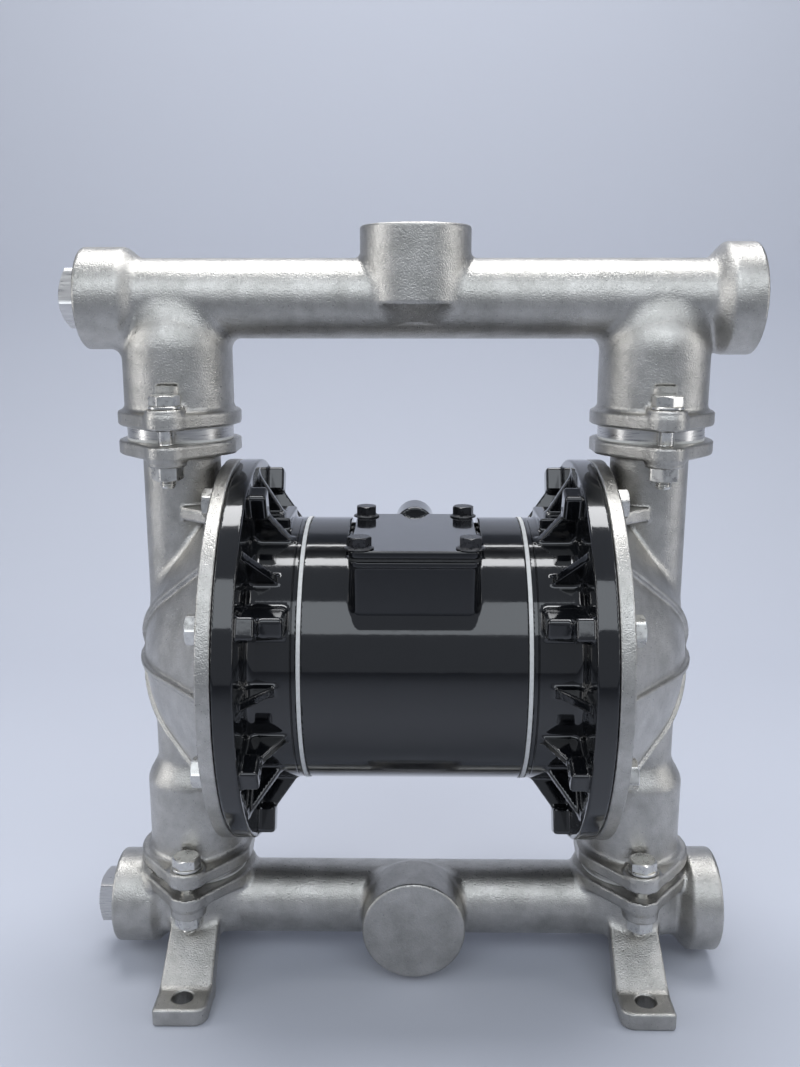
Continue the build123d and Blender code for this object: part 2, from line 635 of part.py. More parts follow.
def air_chamber():
    """The +X chamber: rim, dished wall and neck, with tapped bosses and webs round the rim."""
    floor_r = NECK_OUTER_R - BACK_WALL
    recess_x = CLAMP_X - DIAPHRAGM_T
    bead_inner = BEAD_R - BEAD_W
    body = turned_x([
        (CHAMBER_X, 0), (CHAMBER_X, NECK_OUTER_R), (RIM_X - BACK_WALL, NECK_OUTER_R),
        (RIM_X, NECK_OUTER_R + BACK_WALL), (RIM_X, FLANGE_R), (CLAMP_X, FLANGE_R), (CLAMP_X, 0)])
    body = fillet(rims(body, Axis.X, FLANGE_R).sort_by(Axis.X)[0], EDGE_FILLET)
    first = 180 / CLAMP_BOLTS
    body += on_circle(bolt_boss(), CLAMP_BOLTS, first)
    body += on_circle(plain_web(), CLAMP_BOLTS)
    pad_top = SHAFT_Z + NECK_OUTER_R + TOP_PAD_H
    body += block(RIM_X - DUCT_BOSS_RUN, RIM_X + 1, -TOP_PAD_Y, TOP_PAD_Y, SHAFT_Z + floor_r, pad_top)
    body += duct_boss()
    body -= turned_x([
        (CHAMBER_FLOOR_X, 0), (CHAMBER_FLOOR_X, floor_r), (RIM_X - BACK_WALL, floor_r), (recess_x, bead_inner),
        (recess_x, BEAD_R + FIT_CLEAR), (CLAMP_X + 1, BEAD_R + FIT_CLEAR), (CLAMP_X + 1, 0)])
    body -= on_circle(tapped_hole(), CLAMP_BOLTS, first)
    stripe = rod_x(NECK_OUTER_R + 1, STRIPE_X, STRIPE_X + STRIPE_W, z=SHAFT_Z)
    body -= stripe - rod_x(NECK_OUTER_R - STRIPE_DEPTH, STRIPE_X, STRIPE_X + STRIPE_W, z=SHAFT_Z)
    return body - core_openings(CHAMBER_X - 1, CHAMBER_FLOOR_X + 1)


def core_gasket():
    disc = rod_x(NECK_OUTER_R + GASKET_LIP, BLOCK_HALF, CHAMBER_X, z=SHAFT_Z)
    return disc - core_openings(BLOCK_HALF - 1, CHAMBER_X + 1)


def core_screw():
    """Socket screw from the chamber floor into the centre block."""
    screw = rod_z(CORE_SCREW_HEAD_R, 0, M8_R * 2)
    screw -= Pos(0, 0, M8_R) * hex_prism(CORE_SCREW_SOCKET_AF, M8_R + 1)
    screw += rod_z(M8_R, -CORE_SCREW_LENGTH, 0.5)
    return Pos(CHAMBER_FLOOR_X, CORE_SCREW_CIRCLE_R, 0) * Rot(0, 90, 0) * screw


def centre_block():
    body = rod_x(NECK_OUTER_R, -BLOCK_HALF, BLOCK_HALF, z=SHAFT_Z)
    plan_y = (-BOX_FRONT_Y, BOX_BACK_Y)
    box = block(-BOX_HALF_X + BOX_LIP, BOX_HALF_X - BOX_LIP, plan_y[0] + BOX_LIP, 0, BOX_SKIRT_Z, BOX_TOP_Z)
    box = fillet(box.edges().filter_by(Axis.Z).group_by(Axis.Y)[0], BOX_CORNER_R)
    lip = block(-BOX_HALF_X, BOX_HALF_X, *plan_y, BOX_TOP_Z - BOX_LIP_H, BOX_TOP_Z)
    lip = fillet(lip.edges().filter_by(Axis.Z).group_by(Axis.Y)[0], BOX_CORNER_R)
    top_z = SHAFT_Z + NECK_OUTER_R + 1
    body -= block(-BOX_HALF_X - 2, BOX_HALF_X + 2, -NECK_OUTER_R, BOX_BACK_Y + 2, BOX_TOP_Z - BOX_LIP_H, top_z)
    body += box + lip
    body += rod_y(AIR_PORT_R, BOX_BACK_Y, AIR_PORT_Y, z=AIR_PORT_Z)
    body += rod_y(EXHAUST_R, BOX_BACK_Y, EXHAUST_Y, z=EXHAUST_Z)
    # pocket for the air valve, passages and bores
    y_mid = SLEEVE_CENTRE_Y
    pocket_y = SLEEVE_HALF + FIT_CLEAR
    pocket_x = SLEEVE_W / 2 + FIT_CLEAR
    body -= block(-pocket_x, pocket_x, y_mid - pocket_y, y_mid + pocket_y, BOX_TOP_Z - SLEEVE_H, BOX_TOP_Z + 1)
    body -= rod_x(SHAFT_R + SHAFT_CLEAR, -BLOCK_HALF - 1, BLOCK_HALF + 1, z=SHAFT_Z)
    body -= both_sides(rod_x(BUSH_R, BLOCK_HALF - BUSH_LENGTH - SEAL_T, BLOCK_HALF + 1, z=SHAFT_Z))
    body -= rod_x(PILOT_R + RUN_CLEAR, -BLOCK_HALF - 1, BLOCK_HALF + 1, z=PILOT_Z)
    body -= both_sides(rod_x(DUCT_R, SLEEVE_W / 2, BLOCK_HALF + 1, y=-DUCT_Y, z=DUCT_Z))
    tap_r = M8_R + FIT_CLEAR / 2
    screw_hole = rod_x(tap_r, BLOCK_HALF - CORE_SCREW_LENGTH, BLOCK_HALF + 1, y=CORE_SCREW_CIRCLE_R)
    body -= on_circle(screw_hole, CORE_SCREWS) + on_circle(mirrored(screw_hole), CORE_SCREWS)
    body -= rod_y(AIR_HOLE_R, AIR_PORT_Y - AIR_HOLE_DEPTH, AIR_PORT_Y + 1, z=AIR_PORT_Z)
    body -= rod_y(DUCT_R, y_mid, AIR_PORT_Y - 1, z=AIR_PORT_Z - DUCT_R)
    body -= rod_y(EXHAUST_HOLE_R, EXHAUST_Y - EXHAUST_HOLE_DEPTH, EXHAUST_Y + 1, z=EXHAUST_Z)
    for x in (-COVER_BOLT_X, COVER_BOLT_X):
        for y in COVER_BOLT_Y:
            body -= rod_z(tap_r, BOX_TOP_Z - COVER_BOLT_LENGTH, BOX_TOP_Z + 1, x, y)
    return body


def cover_plate(z0, z1):
    plate = block(-BOX_HALF_X, BOX_HALF_X, -BOX_FRONT_Y, BOX_BACK_Y, z0, z1)
    plate = fillet(plate.edges().filter_by(Axis.Z).group_by(Axis.Y)[0], BOX_CORNER_R)
    for x in (-COVER_BOLT_X, COVER_BOLT_X):
        for y in COVER_BOLT_Y:
            plate -= rod_z(M8_R + BOLT_CLEAR / 2, z0 - 1, z1 + 1, x, y)
    return plate


def valve_cover():
    z0 = BOX_TOP_Z + COVER_GASKET_T
    plate = cover_plate(z0, z0 + COVER_T)
    return fillet(plate.faces().sort_by(Axis.Z)[-1].outer_wire().edges(), 1)


def valve_sleeve():
    """Air valve body with a stepped bore along Y and port slots in its floor."""
    top = BOX_TOP_Z
    y0 = SLEEVE_CENTRE_Y - SLEEVE_HALF
    y1 = SLEEVE_CENTRE_Y + SLEEVE_HALF
    body = block(-SLEEVE_W / 2, SLEEVE_W / 2, y0, y1, top - SLEEVE_H, top)
    body -= rod_y(SPOOL_R + RUN_CLEAR, y0 - 1, y1 + 1, z=SPOOL_Z)
    for y in (y0 - 1, y1 - END_CAP_T):
        body -= rod_y(END_CAP_R, y, y + END_CAP_T + 1, z=SPOOL_Z)
    half = SLOT_LENGTH / 2
    for k in range(-SLOTS_EACH_WAY, SLOTS_EACH_WAY + 1):
        slot_y = SLEEVE_CENTRE_Y + k * SLOT_PITCH
        body -= block(-half, half, slot_y - SLOT_W / 2, slot_y + SLOT_W / 2, top - SLEEVE_H - 1, SPOOL_Z)
    return body


def end_caps():
    y0 = SLEEVE_CENTRE_Y - SLEEVE_HALF
    y1 = SLEEVE_CENTRE_Y + SLEEVE_HALF
    return [rod_y(END_CAP_R - FIT_CLEAR, y, y + END_CAP_T, z=SPOOL_Z) for y in (y0, y1 - END_CAP_T)]


def valve_spool():
    """Spool with three lands and two waists."""
    land = SPOOL_HALF * SPOOL_LAND_SHARE
    waist = SPOOL_R * SPOOL_WAIST_SHARE
    points = [(0, -SPOOL_HALF), (SPOOL_R, -SPOOL_HALF), (SPOOL_R, -SPOOL_HALF + land),
              (waist, -SPOOL_HALF + land), (waist, -land / 2), (SPOOL_R, -land / 2), (SPOOL_R, land / 2), (waist, land / 2),
              (waist, SPOOL_HALF - land), (SPOOL_R, SPOOL_HALF - land), (SPOOL_R, SPOOL_HALF), (0, SPOOL_HALF)]
    return Pos(0, SLEEVE_CENTRE_Y, SPOOL_Z) * Rot(-90, 0, 0) * turned_z(points)


def shaft_bush():
    x0 = BLOCK_HALF - BUSH_LENGTH - SEAL_T
    ring = rod_x(BUSH_R, x0, BLOCK_HALF - SEAL_T, z=SHAFT_Z)
    return ring - rod_x(SHAFT_R + RUN_CLEAR, x0 - 1, BLOCK_HALF, z=SHAFT_Z)


def shaft_seal():
    ring = rod_x(BUSH_R, BLOCK_HALF - SEAL_T, BLOCK_HALF, z=SHAFT_Z)
    return ring - rod_x(SHAFT_R + RUN_CLEAR, BLOCK_HALF - SEAL_T - 1, BLOCK_HALF + 1, z=SHAFT_Z)


def main_shaft():
    plate_back = CLAMP_X - DIAPHRAGM_T - PLATE_HUB_T
    end_x = CLAMP_X + PLATE_HUB_T + SHAFT_NUT_T + 2
    return turned_x([
        (-end_x, 0), (-end_x, SHAFT_END_R), (-plate_back, SHAFT_END_R), (-plate_back, SHAFT_R),
        (plate_back, SHAFT_R), (plate_back, SHAFT_END_R), (end_x, SHAFT_END_R), (end_x, 0)])


def pilot_rod():
    """Ends just short of the inner plates at the ends of the stroke."""
    plate_back = CLAMP_X - DIAPHRAGM_T - PLATE_HUB_T
    half = plate_back - STROKE * (1 - PILOT_RATIO) - MOVE_GAP
    return rod_x(PILOT_R, -half, half, z=PILOT_Z)


def clamp_plate(face_x, away):
    """Dished plate of the diaphragm; its flat face at face_x, the hub on the other side."""
    points = [
        (face_x, SHAFT_END_R + RUN_CLEAR), (face_x, PLATE_R), (face_x + away * PLATE_RIM_T, PLATE_R - 2),
        (face_x + away * PLATE_RIM_T, PLATE_HUB_R + 6), (face_x + away * PLATE_HUB_T, PLATE_HUB_R),
        (face_x + away * PLATE_HUB_T, SHAFT_END_R + RUN_CLEAR)]
    return turned_x(points)


def diaphragm():
    """Flat centre, one rolled convolution and a clamped bead."""
    x0 = CLAMP_X - DIAPHRAGM_T
    roll_mid = (PLATE_R + BEAD_R - BEAD_W) / 2
    inner = roll_mid - ROLL_R
    outer = roll_mid + ROLL_R
    rise = ROLL_R * 0.7
    low = [Line((x0, SHAFT_END_R + RUN_CLEAR), (x0, inner)),
           ThreePointArc((x0, inner), (x0 + rise, roll_mid), (x0, outer)),
           Line((x0, outer), (x0, BEAD_R))]
    cap = [Line((x0, BEAD_R), (CLAMP_X, BEAD_R)), Line((CLAMP_X, BEAD_R), (CLAMP_X, outer + 1))]
    high = [ThreePointArc((CLAMP_X, outer + 1), (CLAMP_X + rise, roll_mid), (CLAMP_X, inner - 1)),
            Line((CLAMP_X, inner - 1), (CLAMP_X, SHAFT_END_R + RUN_CLEAR)),
            Line((CLAMP_X, SHAFT_END_R + RUN_CLEAR), (x0, SHAFT_END_R + RUN_CLEAR))]
    return SHAFT_LEVEL * revolve(make_face(low + cap + high), Axis.X)


def shaft_nut():
    nut = Rot(0, 90, 0) * hex_nut(SHAFT_END_R, SHAFT_NUT_AF, SHAFT_NUT_T)
    return Pos(CLAMP_X + PLATE_HUB_T, 0, SHAFT_Z) * nut


# ---------- groups of fasteners ----------
def column_fasteners():
    """Bolts, washers and nuts of the four column joints; heads are always on top."""
    bolts, washers, nuts = [], [], []
    joints = (
        (OUTLET_JOINT_Z + EAR_T, CAP_TOP_Z - EAR_T),
        (CAP_FOOT_Z + CAP_FOOT_EAR_T, INLET_JOINT_Z - INLET_EAR_T))
    for top, bottom in joints:
        length = top - bottom + M10_WASHER_T + M10_NUT + BOLT_OVERRUN
        for x, y in EAR_PLACES:
            bolts += at_columns(Pos(x, y, top + M10_WASHER_T) * hex_bolt(length))
            washers += at_columns(Pos(x, y, top) * washer())
            nuts += at_columns(Pos(x, y, bottom) * Rot(180, 0, 0) * hex_nut())
    return bolts, washers, nuts


def clamp_bolts():
    """Bolts through the cap flanges into the chamber bosses."""
    length = FLANGE_T + RIM_T + BOSS_DEPTH - BOSS_END_WALL - BOLT_TIP
    bolt = Pos(FLANGE_FACE_X, BOLT_CIRCLE_R, 0) * Rot(0, 90, 0) * hex_bolt(length)
    right = on_circle(bolt, CLAMP_BOLTS, 180 / CLAMP_BOLTS)
    return right + [mirrored(b) for b in right]


# ---------- write every piece ----------
save("outlet_manifold", outlet_manifold())
save("inlet_manifold", inlet_manifold())
save("outlet_plug", square_plug(OUTLET_Z, OUTLET_PLUG_TURN))
save("inlet_plug", square_plug(INLET_Z, INLET_PLUG_TURN))
save("plug_washers", plug_washer(OUTLET_Z), plug_washer(INLET_Z))

outlet_gap = (CAP_TOP_Z, OUTLET_JOINT_Z)
inlet_gap = (INLET_JOINT_Z, CAP_FOOT_Z)
column_pieces = {
    "outlet_seat": valve_seat(*outlet_gap),
    "inlet_seat": valve_seat(*inlet_gap),
    "outlet_ball": valve_ball(OUTLET_JOINT_Z + SPIGOT_T),
    "inlet_ball": valve_ball(CAP_FOOT_Z + SPIGOT_T),
}
for name, piece in column_pieces.items():
    for side, placed in zip(("right", "left"), at_columns(piece)):
        save(f"{name}_{side}", placed)

seals = seat_seals(*outlet_gap) + seat_seals(*inlet_gap)
save("seat_seals", *[placed for seal in seals for placed in at_columns(seal)])

side_pieces = {
    "fluid_cap": fluid_cap(),
    "air_chamber": air_chamber(),
    "core_gasket": core_gasket(),
    "diaphragm": diaphragm(),
    "inner_plate": clamp_plate(CLAMP_X - DIAPHRAGM_T, -1),
    "outer_plate": clamp_plate(CLAMP_X, 1),
    "shaft_bush": shaft_bush(),
    "shaft_seal": shaft_seal(),
}
for name, piece in side_pieces.items():
    save(f"{name}_right", piece)
    save(f"{name}_left", mirrored(piece))

save("shaft_nuts", *both_sides(shaft_nut()))
save("core_screws", *on_circle(core_screw(), CORE_SCREWS), *on_circle(mirrored(core_screw()), CORE_SCREWS))

save("centre_block", centre_block())
save("cover_gasket", cover_plate(BOX_TOP_Z, BOX_TOP_Z + COVER_GASKET_T))
save("valve_cover", valve_cover())
cover_top = BOX_TOP_Z + COVER_GASKET_T + COVER_T
bolt_places = [(x, y) for x in (-COVER_BOLT_X, COVER_BOLT_X) for y in COVER_BOLT_Y]
save("cover_bolts", *[Pos(x, y, cover_top) * flange_bolt(COVER_BOLT_LENGTH) for x, y in bolt_places])
save("valve_sleeve", valve_sleeve())
save("valve_end_caps", *end_caps())
save("valve_spool", valve_spool())
save("main_shaft", main_shaft())
save("pilot_rod", pilot_rod())

for name, pieces in zip(("column_bolts", "column_washers", "column_nuts"), column_fasteners()):
    save(name, *pieces)
save("clamp_bolts", *clamp_bolts())
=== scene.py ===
import json
from math import cos, pi, radians, sin, sqrt, tan, tau

import bpy
import numpy as np
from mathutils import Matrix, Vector


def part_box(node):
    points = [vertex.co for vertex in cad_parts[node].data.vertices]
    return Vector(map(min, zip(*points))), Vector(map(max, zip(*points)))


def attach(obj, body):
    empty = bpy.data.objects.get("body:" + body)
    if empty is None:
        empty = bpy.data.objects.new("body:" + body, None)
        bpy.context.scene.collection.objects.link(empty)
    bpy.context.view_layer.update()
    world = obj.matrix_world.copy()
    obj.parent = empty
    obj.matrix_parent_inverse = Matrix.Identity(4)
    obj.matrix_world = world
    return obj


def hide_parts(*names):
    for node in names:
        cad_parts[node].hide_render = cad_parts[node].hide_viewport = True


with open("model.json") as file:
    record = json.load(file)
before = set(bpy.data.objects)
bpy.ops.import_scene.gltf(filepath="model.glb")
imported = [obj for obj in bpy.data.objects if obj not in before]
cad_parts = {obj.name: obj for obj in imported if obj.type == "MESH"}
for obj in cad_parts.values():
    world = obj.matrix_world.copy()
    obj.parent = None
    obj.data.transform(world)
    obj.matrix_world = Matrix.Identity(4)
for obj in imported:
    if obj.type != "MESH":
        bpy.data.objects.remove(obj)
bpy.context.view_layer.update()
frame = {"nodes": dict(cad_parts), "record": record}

record = frame["record"]
mounts = {m["name"]: m for m in record["mounts"]}
mm = 0.001


def boxMm(node):
    return [[c / mm for c in corner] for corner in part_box(node)]


# main axes of the pump, read from the frame, in millimetres
outletZ = mounts["outlet_port"]["pos_m"][2] / mm
inletZ = mounts["inlet_port"]["pos_m"][2] / mm
shaftZ = sum(corner[2] for corner in boxMm("main_shaft")) / 2
columnX = sum(corner[0] for corner in boxMm("outlet_ball_right")) / 2
capTop = boxMm("fluid_cap_right")[1][2]
capFoot = boxMm("fluid_cap_right")[0][2]
outletJoint = boxMm("outlet_manifold")[0][2]
seatSunk = 4
inletJoint = boxMm("inlet_seat_right")[0][2] + seatSunk
flangeR = (boxMm("fluid_cap_right")[1][1] - boxMm("fluid_cap_right")[0][1]) / 2
clampX = boxMm("air_chamber_right")[1][0]
portEnd = boxMm("outlet_manifold")[1][0]
plugEnd = -boxMm("outlet_manifold")[0][0]
gasketProud = 0.3
neckR = (boxMm("core_gasket_right")[1][1] - boxMm("core_gasket_right")[0][1]) / 2 - gasketProud
blockHalf = boxMm("core_gasket_right")[0][0]
chamberX = boxMm("core_gasket_right")[1][0]
boxTop = boxMm("cover_gasket")[0][2]
print("frame read: outlet", outletZ, "inlet", inletZ, "shaft", shaftZ, "columns", columnX)


# distance fields, in millimetres: negative inside
def joined(a, b, cove):
    over = np.hypot(np.maximum(cove - a, 0), np.maximum(cove - b, 0))
    return np.maximum(cove, np.minimum(a, b)) - over


def kept(a, b, edge):
    over = np.hypot(np.maximum(edge + a, 0), np.maximum(edge + b, 0))
    return np.minimum(-edge, np.maximum(a, b)) + over


def cutBy(a, b, edge):
    return kept(a, -b, edge)


def slab(v, low, high):
    return np.abs(v - (low + high) / 2) - (high - low) / 2


def roundBox(x, y, z, centre, half, edge):
    q = [np.abs(v - c) - h + edge for v, c, h in zip((x, y, z), centre, half)]
    outside = np.sqrt(sum(np.maximum(v, 0) ** 2 for v in q))
    return outside + np.minimum(np.maximum(q[0], np.maximum(q[1], q[2])), 0) - edge


def step01(v):
    t = np.clip(v, 0, 1)
    return t * t * (3 - 2 * t)


def earPlate(x, y, r, earR, earY):
    # outline of a column flange: a circle drawn out to two bolt ears
    ax, ay = np.abs(x), np.abs(y)
    b = (r - earR) / earY
    a = sqrt(1 - b * b)
    k = a * ay - b * ax
    side = a * ax + b * ay - r
    return np.where(k < 0, np.hypot(ax, ay) - r, np.where(k > a * earY, np.hypot(ax, ay - earY) - earR, side))


def aroundShaft(y, z, count, first):
    # folds the circle about the shaft into one sector: returns radius and sideways distance
    radius = np.hypot(y, z - shaftZ)
    sector = tau / count
    turn = np.arctan2(z - shaftZ, y) - first
    turn = turn - sector * np.round(turn / sector)
    return radius * np.cos(turn), radius * np.sin(turn)


def netSurface(shape, low, high, step, before=1.5, after=2.5):
    # surface net: one vertex in each grid cell that the surface crosses
    axes = [np.arange(l - before * step, h + after * step, step, dtype=np.float32) for l, h in zip(low, high)]
    field = shape(*np.meshgrid(*axes, indexing="ij"))
    inside = field < 0
    size = field.shape
    corners = [(i, j, k) for i in (0, 1) for j in (0, 1) for k in (0, 1)]
    total = sum(inside[i:size[0] - 1 + i, j:size[1] - 1 + j, k:size[2] - 1 + k].astype(np.int8)
                for i, j, k in corners)
    cells = np.argwhere((total > 0) & (total < 8))
    number = np.full([n - 1 for n in size], -1, np.int64)
    number[tuple(cells.T)] = np.arange(len(cells))
    place = np.zeros((len(cells), 3))
    hits = np.zeros(len(cells))
    for a in corners:
        for b in corners:
            if sum(b) != sum(a) + 1 or any(q < p for p, q in zip(a, b)):
                continue
            va = field[tuple((cells + a).T)]
            vb = field[tuple((cells + b).T)]
            crossed = (va < 0) != (vb < 0)
            t = np.where(crossed, va / np.where(crossed, va - vb, 1), 0)
            place += crossed[:, None] * (np.array(a) + t[:, None] * (np.array(b) - np.array(a)))
            hits += crossed
    points = np.array([axis[0] for axis in axes]) + (cells + place / hits[:, None]) * step
    quads = []
    for axis in range(3):
        first = [slice(None)] * 3
        second = [slice(None)] * 3
        first[axis], second[axis] = slice(0, -1), slice(1, None)
        start = inside[tuple(first)]
        edges = np.argwhere(start != inside[tuple(second)])
        u, v = (axis + 1) % 3, (axis + 2) % 3
        stepU, stepV = np.eye(3, dtype=np.int64)[u], np.eye(3, dtype=np.int64)[v]
        ring = [edges - stepU - stepV, edges - stepV, edges, edges - stepU]
        quad = np.stack([number[tuple(r.T)] for r in ring], 1)
        backwards = ~start[tuple(edges.T)]
        quad[backwards] = quad[backwards][:, ::-1]
        quads.append(quad)
    return points, np.concatenate(quads)


def slopeOf(shape, points, reach=0.05):
    slope = np.empty_like(points)
    for axis in range(3):
        shift = np.zeros(3)
        shift[axis] = reach
        slope[:, axis] = shape(*(points + shift).T) - shape(*(points - shift).T)
    return slope / (2 * reach)


def settle(shape, points, quads, step, rounds=4, ease=0.5, flattest=0.2):
    # evens the net out along the surface, then puts every vertex back on it
    a = np.concatenate([quads, quads], 1).ravel()
    b = np.concatenate([np.roll(quads, 1, 1), np.roll(quads, -1, 1)], 1).ravel()
    share = np.bincount(a, minlength=len(points))[:, None]
    for k in range(rounds):
        if k < rounds - 1:
            mean = np.stack([np.bincount(a, points[b, c], len(points)) for c in range(3)], 1) / share
            points = points + ease * (mean - points)
        for _ in range(2):
            slope = slopeOf(shape, points)
            size = np.maximum((slope**2).sum(1), flattest)
            move = (shape(*points.T) / size)[:, None] * slope
            points = points - np.clip(move, -step, step)
    return points


def meshPiece(name, points, faces, normals=None):
    mesh = bpy.data.meshes.new(name)
    mesh.from_pydata((np.asarray(points, float) * mm).tolist(), [], [list(map(int, f)) for f in faces])
    mesh.update()
    mesh.polygons.foreach_set("use_smooth", [True] * len(mesh.polygons))
    if normals is not None:
        mesh.normals_split_custom_set_from_vertices(normals.tolist())
    piece = bpy.data.objects.new(name, mesh)
    bpy.context.scene.collection.objects.link(piece)
    return piece


def casting(name, shape, low, high, step):
    points, quads = netSurface(shape, low, high, step)
    points = settle(shape, points, quads, step)
    slope = slopeOf(shape, points)
    normals = slope / np.linalg.norm(slope, axis=1)[:, None]
    print(name, len(quads) * 2, "triangles")
    return points, quads, normals


def castPieces(name, nodes, shape, low, high, step, slotName):
    # one casting, or a right and a left one mirrored across the middle
    points, quads, normals = casting(name, shape, low, high, step)
    points = np.clip(points, *boxMm(nodes[0]))
    for node in nodes:
        if node.endswith("_left"):
            flip = np.array([-1, 1, 1])
            piece = meshPiece(node + "_cast", points * flip, quads[:, ::-1], normals * flip)
        else:
            piece = meshPiece(node + "_cast", points, quads, normals)
        finishPiece(piece, slotName, node)


def finishPiece(piece, slotName, *nodes, body="housing"):
    piece.data.materials.clear()
    piece.data.materials.append(finishes[slotName])
    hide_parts(*nodes)
    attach(piece, body)


# materials
def newMaterial(name):
    material = bpy.data.materials.new(name)
    material.use_nodes = True
    tree = material.node_tree
    shader = tree.nodes["Principled BSDF"]
    place = tree.nodes.new("ShaderNodeTexCoord")
    return material, tree, shader, place.outputs["Object"]


def noise(tree, where, scale, detail=3.0, rough=0.5):
    node = tree.nodes.new("ShaderNodeTexNoise")
    node.inputs["Scale"].default_value = scale
    node.inputs["Detail"].default_value = detail
    node.inputs["Roughness"].default_value = rough
    tree.links.new(where, node.inputs["Vector"])
    return node.outputs["Fac"]


def spread(tree, value, low, high, toLow, toHigh):
    node = tree.nodes.new("ShaderNodeMapRange")
    for key, number in zip(("From Min", "From Max", "To Min", "To Max"), (low, high, toLow, toHigh)):
        node.inputs[key].default_value = number
    tree.links.new(value, node.inputs["Value"])
    return node.outputs["Result"]


def patches(tree, value, toLow=0.0, toHigh=1.0, low=0.3, high=0.7):
    # noise seldom leaves low to high, so that range is drawn out
    return spread(tree, value, low, high, toLow, toHigh)


def tint(tree, value, dark, pale):
    node = tree.nodes.new("ShaderNodeMix")
    node.data_type = "RGBA"
    node.inputs["A"].default_value = (*dark, 1)
    node.inputs["B"].default_value = (*pale, 1)
    tree.links.new(value, node.inputs["Factor"])
    return node.outputs["Result"]


def bump(tree, value, depth, under=None):
    node = tree.nodes.new("ShaderNodeBump")
    node.inputs["Distance"].default_value = depth
    tree.links.new(value, node.inputs["Height"])
    if under is not None:
        tree.links.new(under, node.inputs["Normal"])
    return node.outputs["Normal"]


# noise patterns: scale per metre, detail and roughness; depths in metres
castFinish = {
    "dark": (0.38, 0.37, 0.345), "pale": (0.56, 0.545, 0.515), "rough": (0.26, 0.42),
    "clouds": (60, 5, 0.65), "grain": (1000, 2, 0.6), "grainDepth": 0.00034, "swell": (110, 3), "swellDepth": 0.00025,
}


def castStainless():
    f = castFinish
    material, tree, shader, where = newMaterial("cast_stainless")
    clouds = noise(tree, where, *f["clouds"])
    grain = noise(tree, where, *f["grain"])
    tree.links.new(tint(tree, patches(tree, clouds), f["dark"], f["pale"]), shader.inputs["Base Color"])
    tree.links.new(patches(tree, grain, *f["rough"]), shader.inputs["Roughness"])
    swell = bump(tree, noise(tree, where, *f["swell"]), f["swellDepth"])
    tree.links.new(bump(tree, grain, f["grainDepth"], swell), shader.inputs["Normal"])
    shader.inputs["Metallic"].default_value = 1
    return material


enamelFinish = {
    "colour": (0.003, 0.0034, 0.0045), "pale": (0.006, 0.0066, 0.008), "clouds": (40, 3), "rough": (0.07, 0.12),
    "peel": (130, 2), "peelDepth": 0.00006, "groove": 0.0746, "grooveHalf": 0.0007, "grooveDepth": 0.0009,
    "specular": 0.5, "coat": 0.6, "coatRough": 0.03,
}


def blackEnamel():
    f = enamelFinish
    material, tree, shader, where = newMaterial("black_enamel")
    clouds = noise(tree, where, *f["clouds"])
    tree.links.new(tint(tree, clouds, f["colour"], f["pale"]), shader.inputs["Base Color"])
    tree.links.new(patches(tree, clouds, *f["rough"]), shader.inputs["Roughness"])
    # a turned groove round each chamber neck, at the same distance from the middle
    split = tree.nodes.new("ShaderNodeSeparateXYZ")
    tree.links.new(where, split.inputs[0])
    away = split.outputs["X"]
    for operation, amount in (("ABSOLUTE", 0), ("SUBTRACT", f["groove"]), ("ABSOLUTE", 0)):
        sums = tree.nodes.new("ShaderNodeMath")
        sums.operation = operation
        sums.inputs[1].default_value = amount
        tree.links.new(away, sums.inputs[0])
        away = sums.outputs[0]
    groove = bump(tree, spread(tree, away, 0, f["grooveHalf"], 0, 1), f["grooveDepth"])
    peel = noise(tree, where, *f["peel"])
    tree.links.new(bump(tree, peel, f["peelDepth"], groove), shader.inputs["Normal"])
    shader.inputs["Specular IOR Level"].default_value = f["specular"]
    shader.inputs["Coat Weight"].default_value = f["coat"]
    shader.inputs["Coat Roughness"].default_value = f["coatRough"]
    return material


def turnedSteel(name, dark, pale, rough, scale, depth=0.00001):
    material, tree, shader, where = newMaterial(name)
    stretch = tree.nodes.new("ShaderNodeMapping")
    stretch.inputs["Scale"].default_value = scale
    tree.links.new(where, stretch.inputs["Vector"])
    lines = noise(tree, stretch.outputs["Vector"], 1)
    tree.links.new(tint(tree, patches(tree, lines), dark, pale), shader.inputs["Base Color"])
    tree.links.new(patches(tree, lines, *rough), shader.inputs["Roughness"])
    tree.links.new(bump(tree, lines, depth), shader.inputs["Normal"])
    shader.inputs["Metallic"].default_value = 1
    return material


def plainSurface(name, dark, pale, rough, scale, depth, metallic):
    material, tree, shader, where = newMaterial(name)
    clouds = noise(tree, where, scale)
    tree.links.new(tint(tree, patches(tree, clouds), dark, pale), shader.inputs["Base Color"])
    tree.links.new(patches(tree, clouds, *rough), shader.inputs["Roughness"])
    tree.links.new(bump(tree, clouds, depth), shader.inputs["Normal"])
    shader.inputs["Metallic"].default_value = metallic
    return material


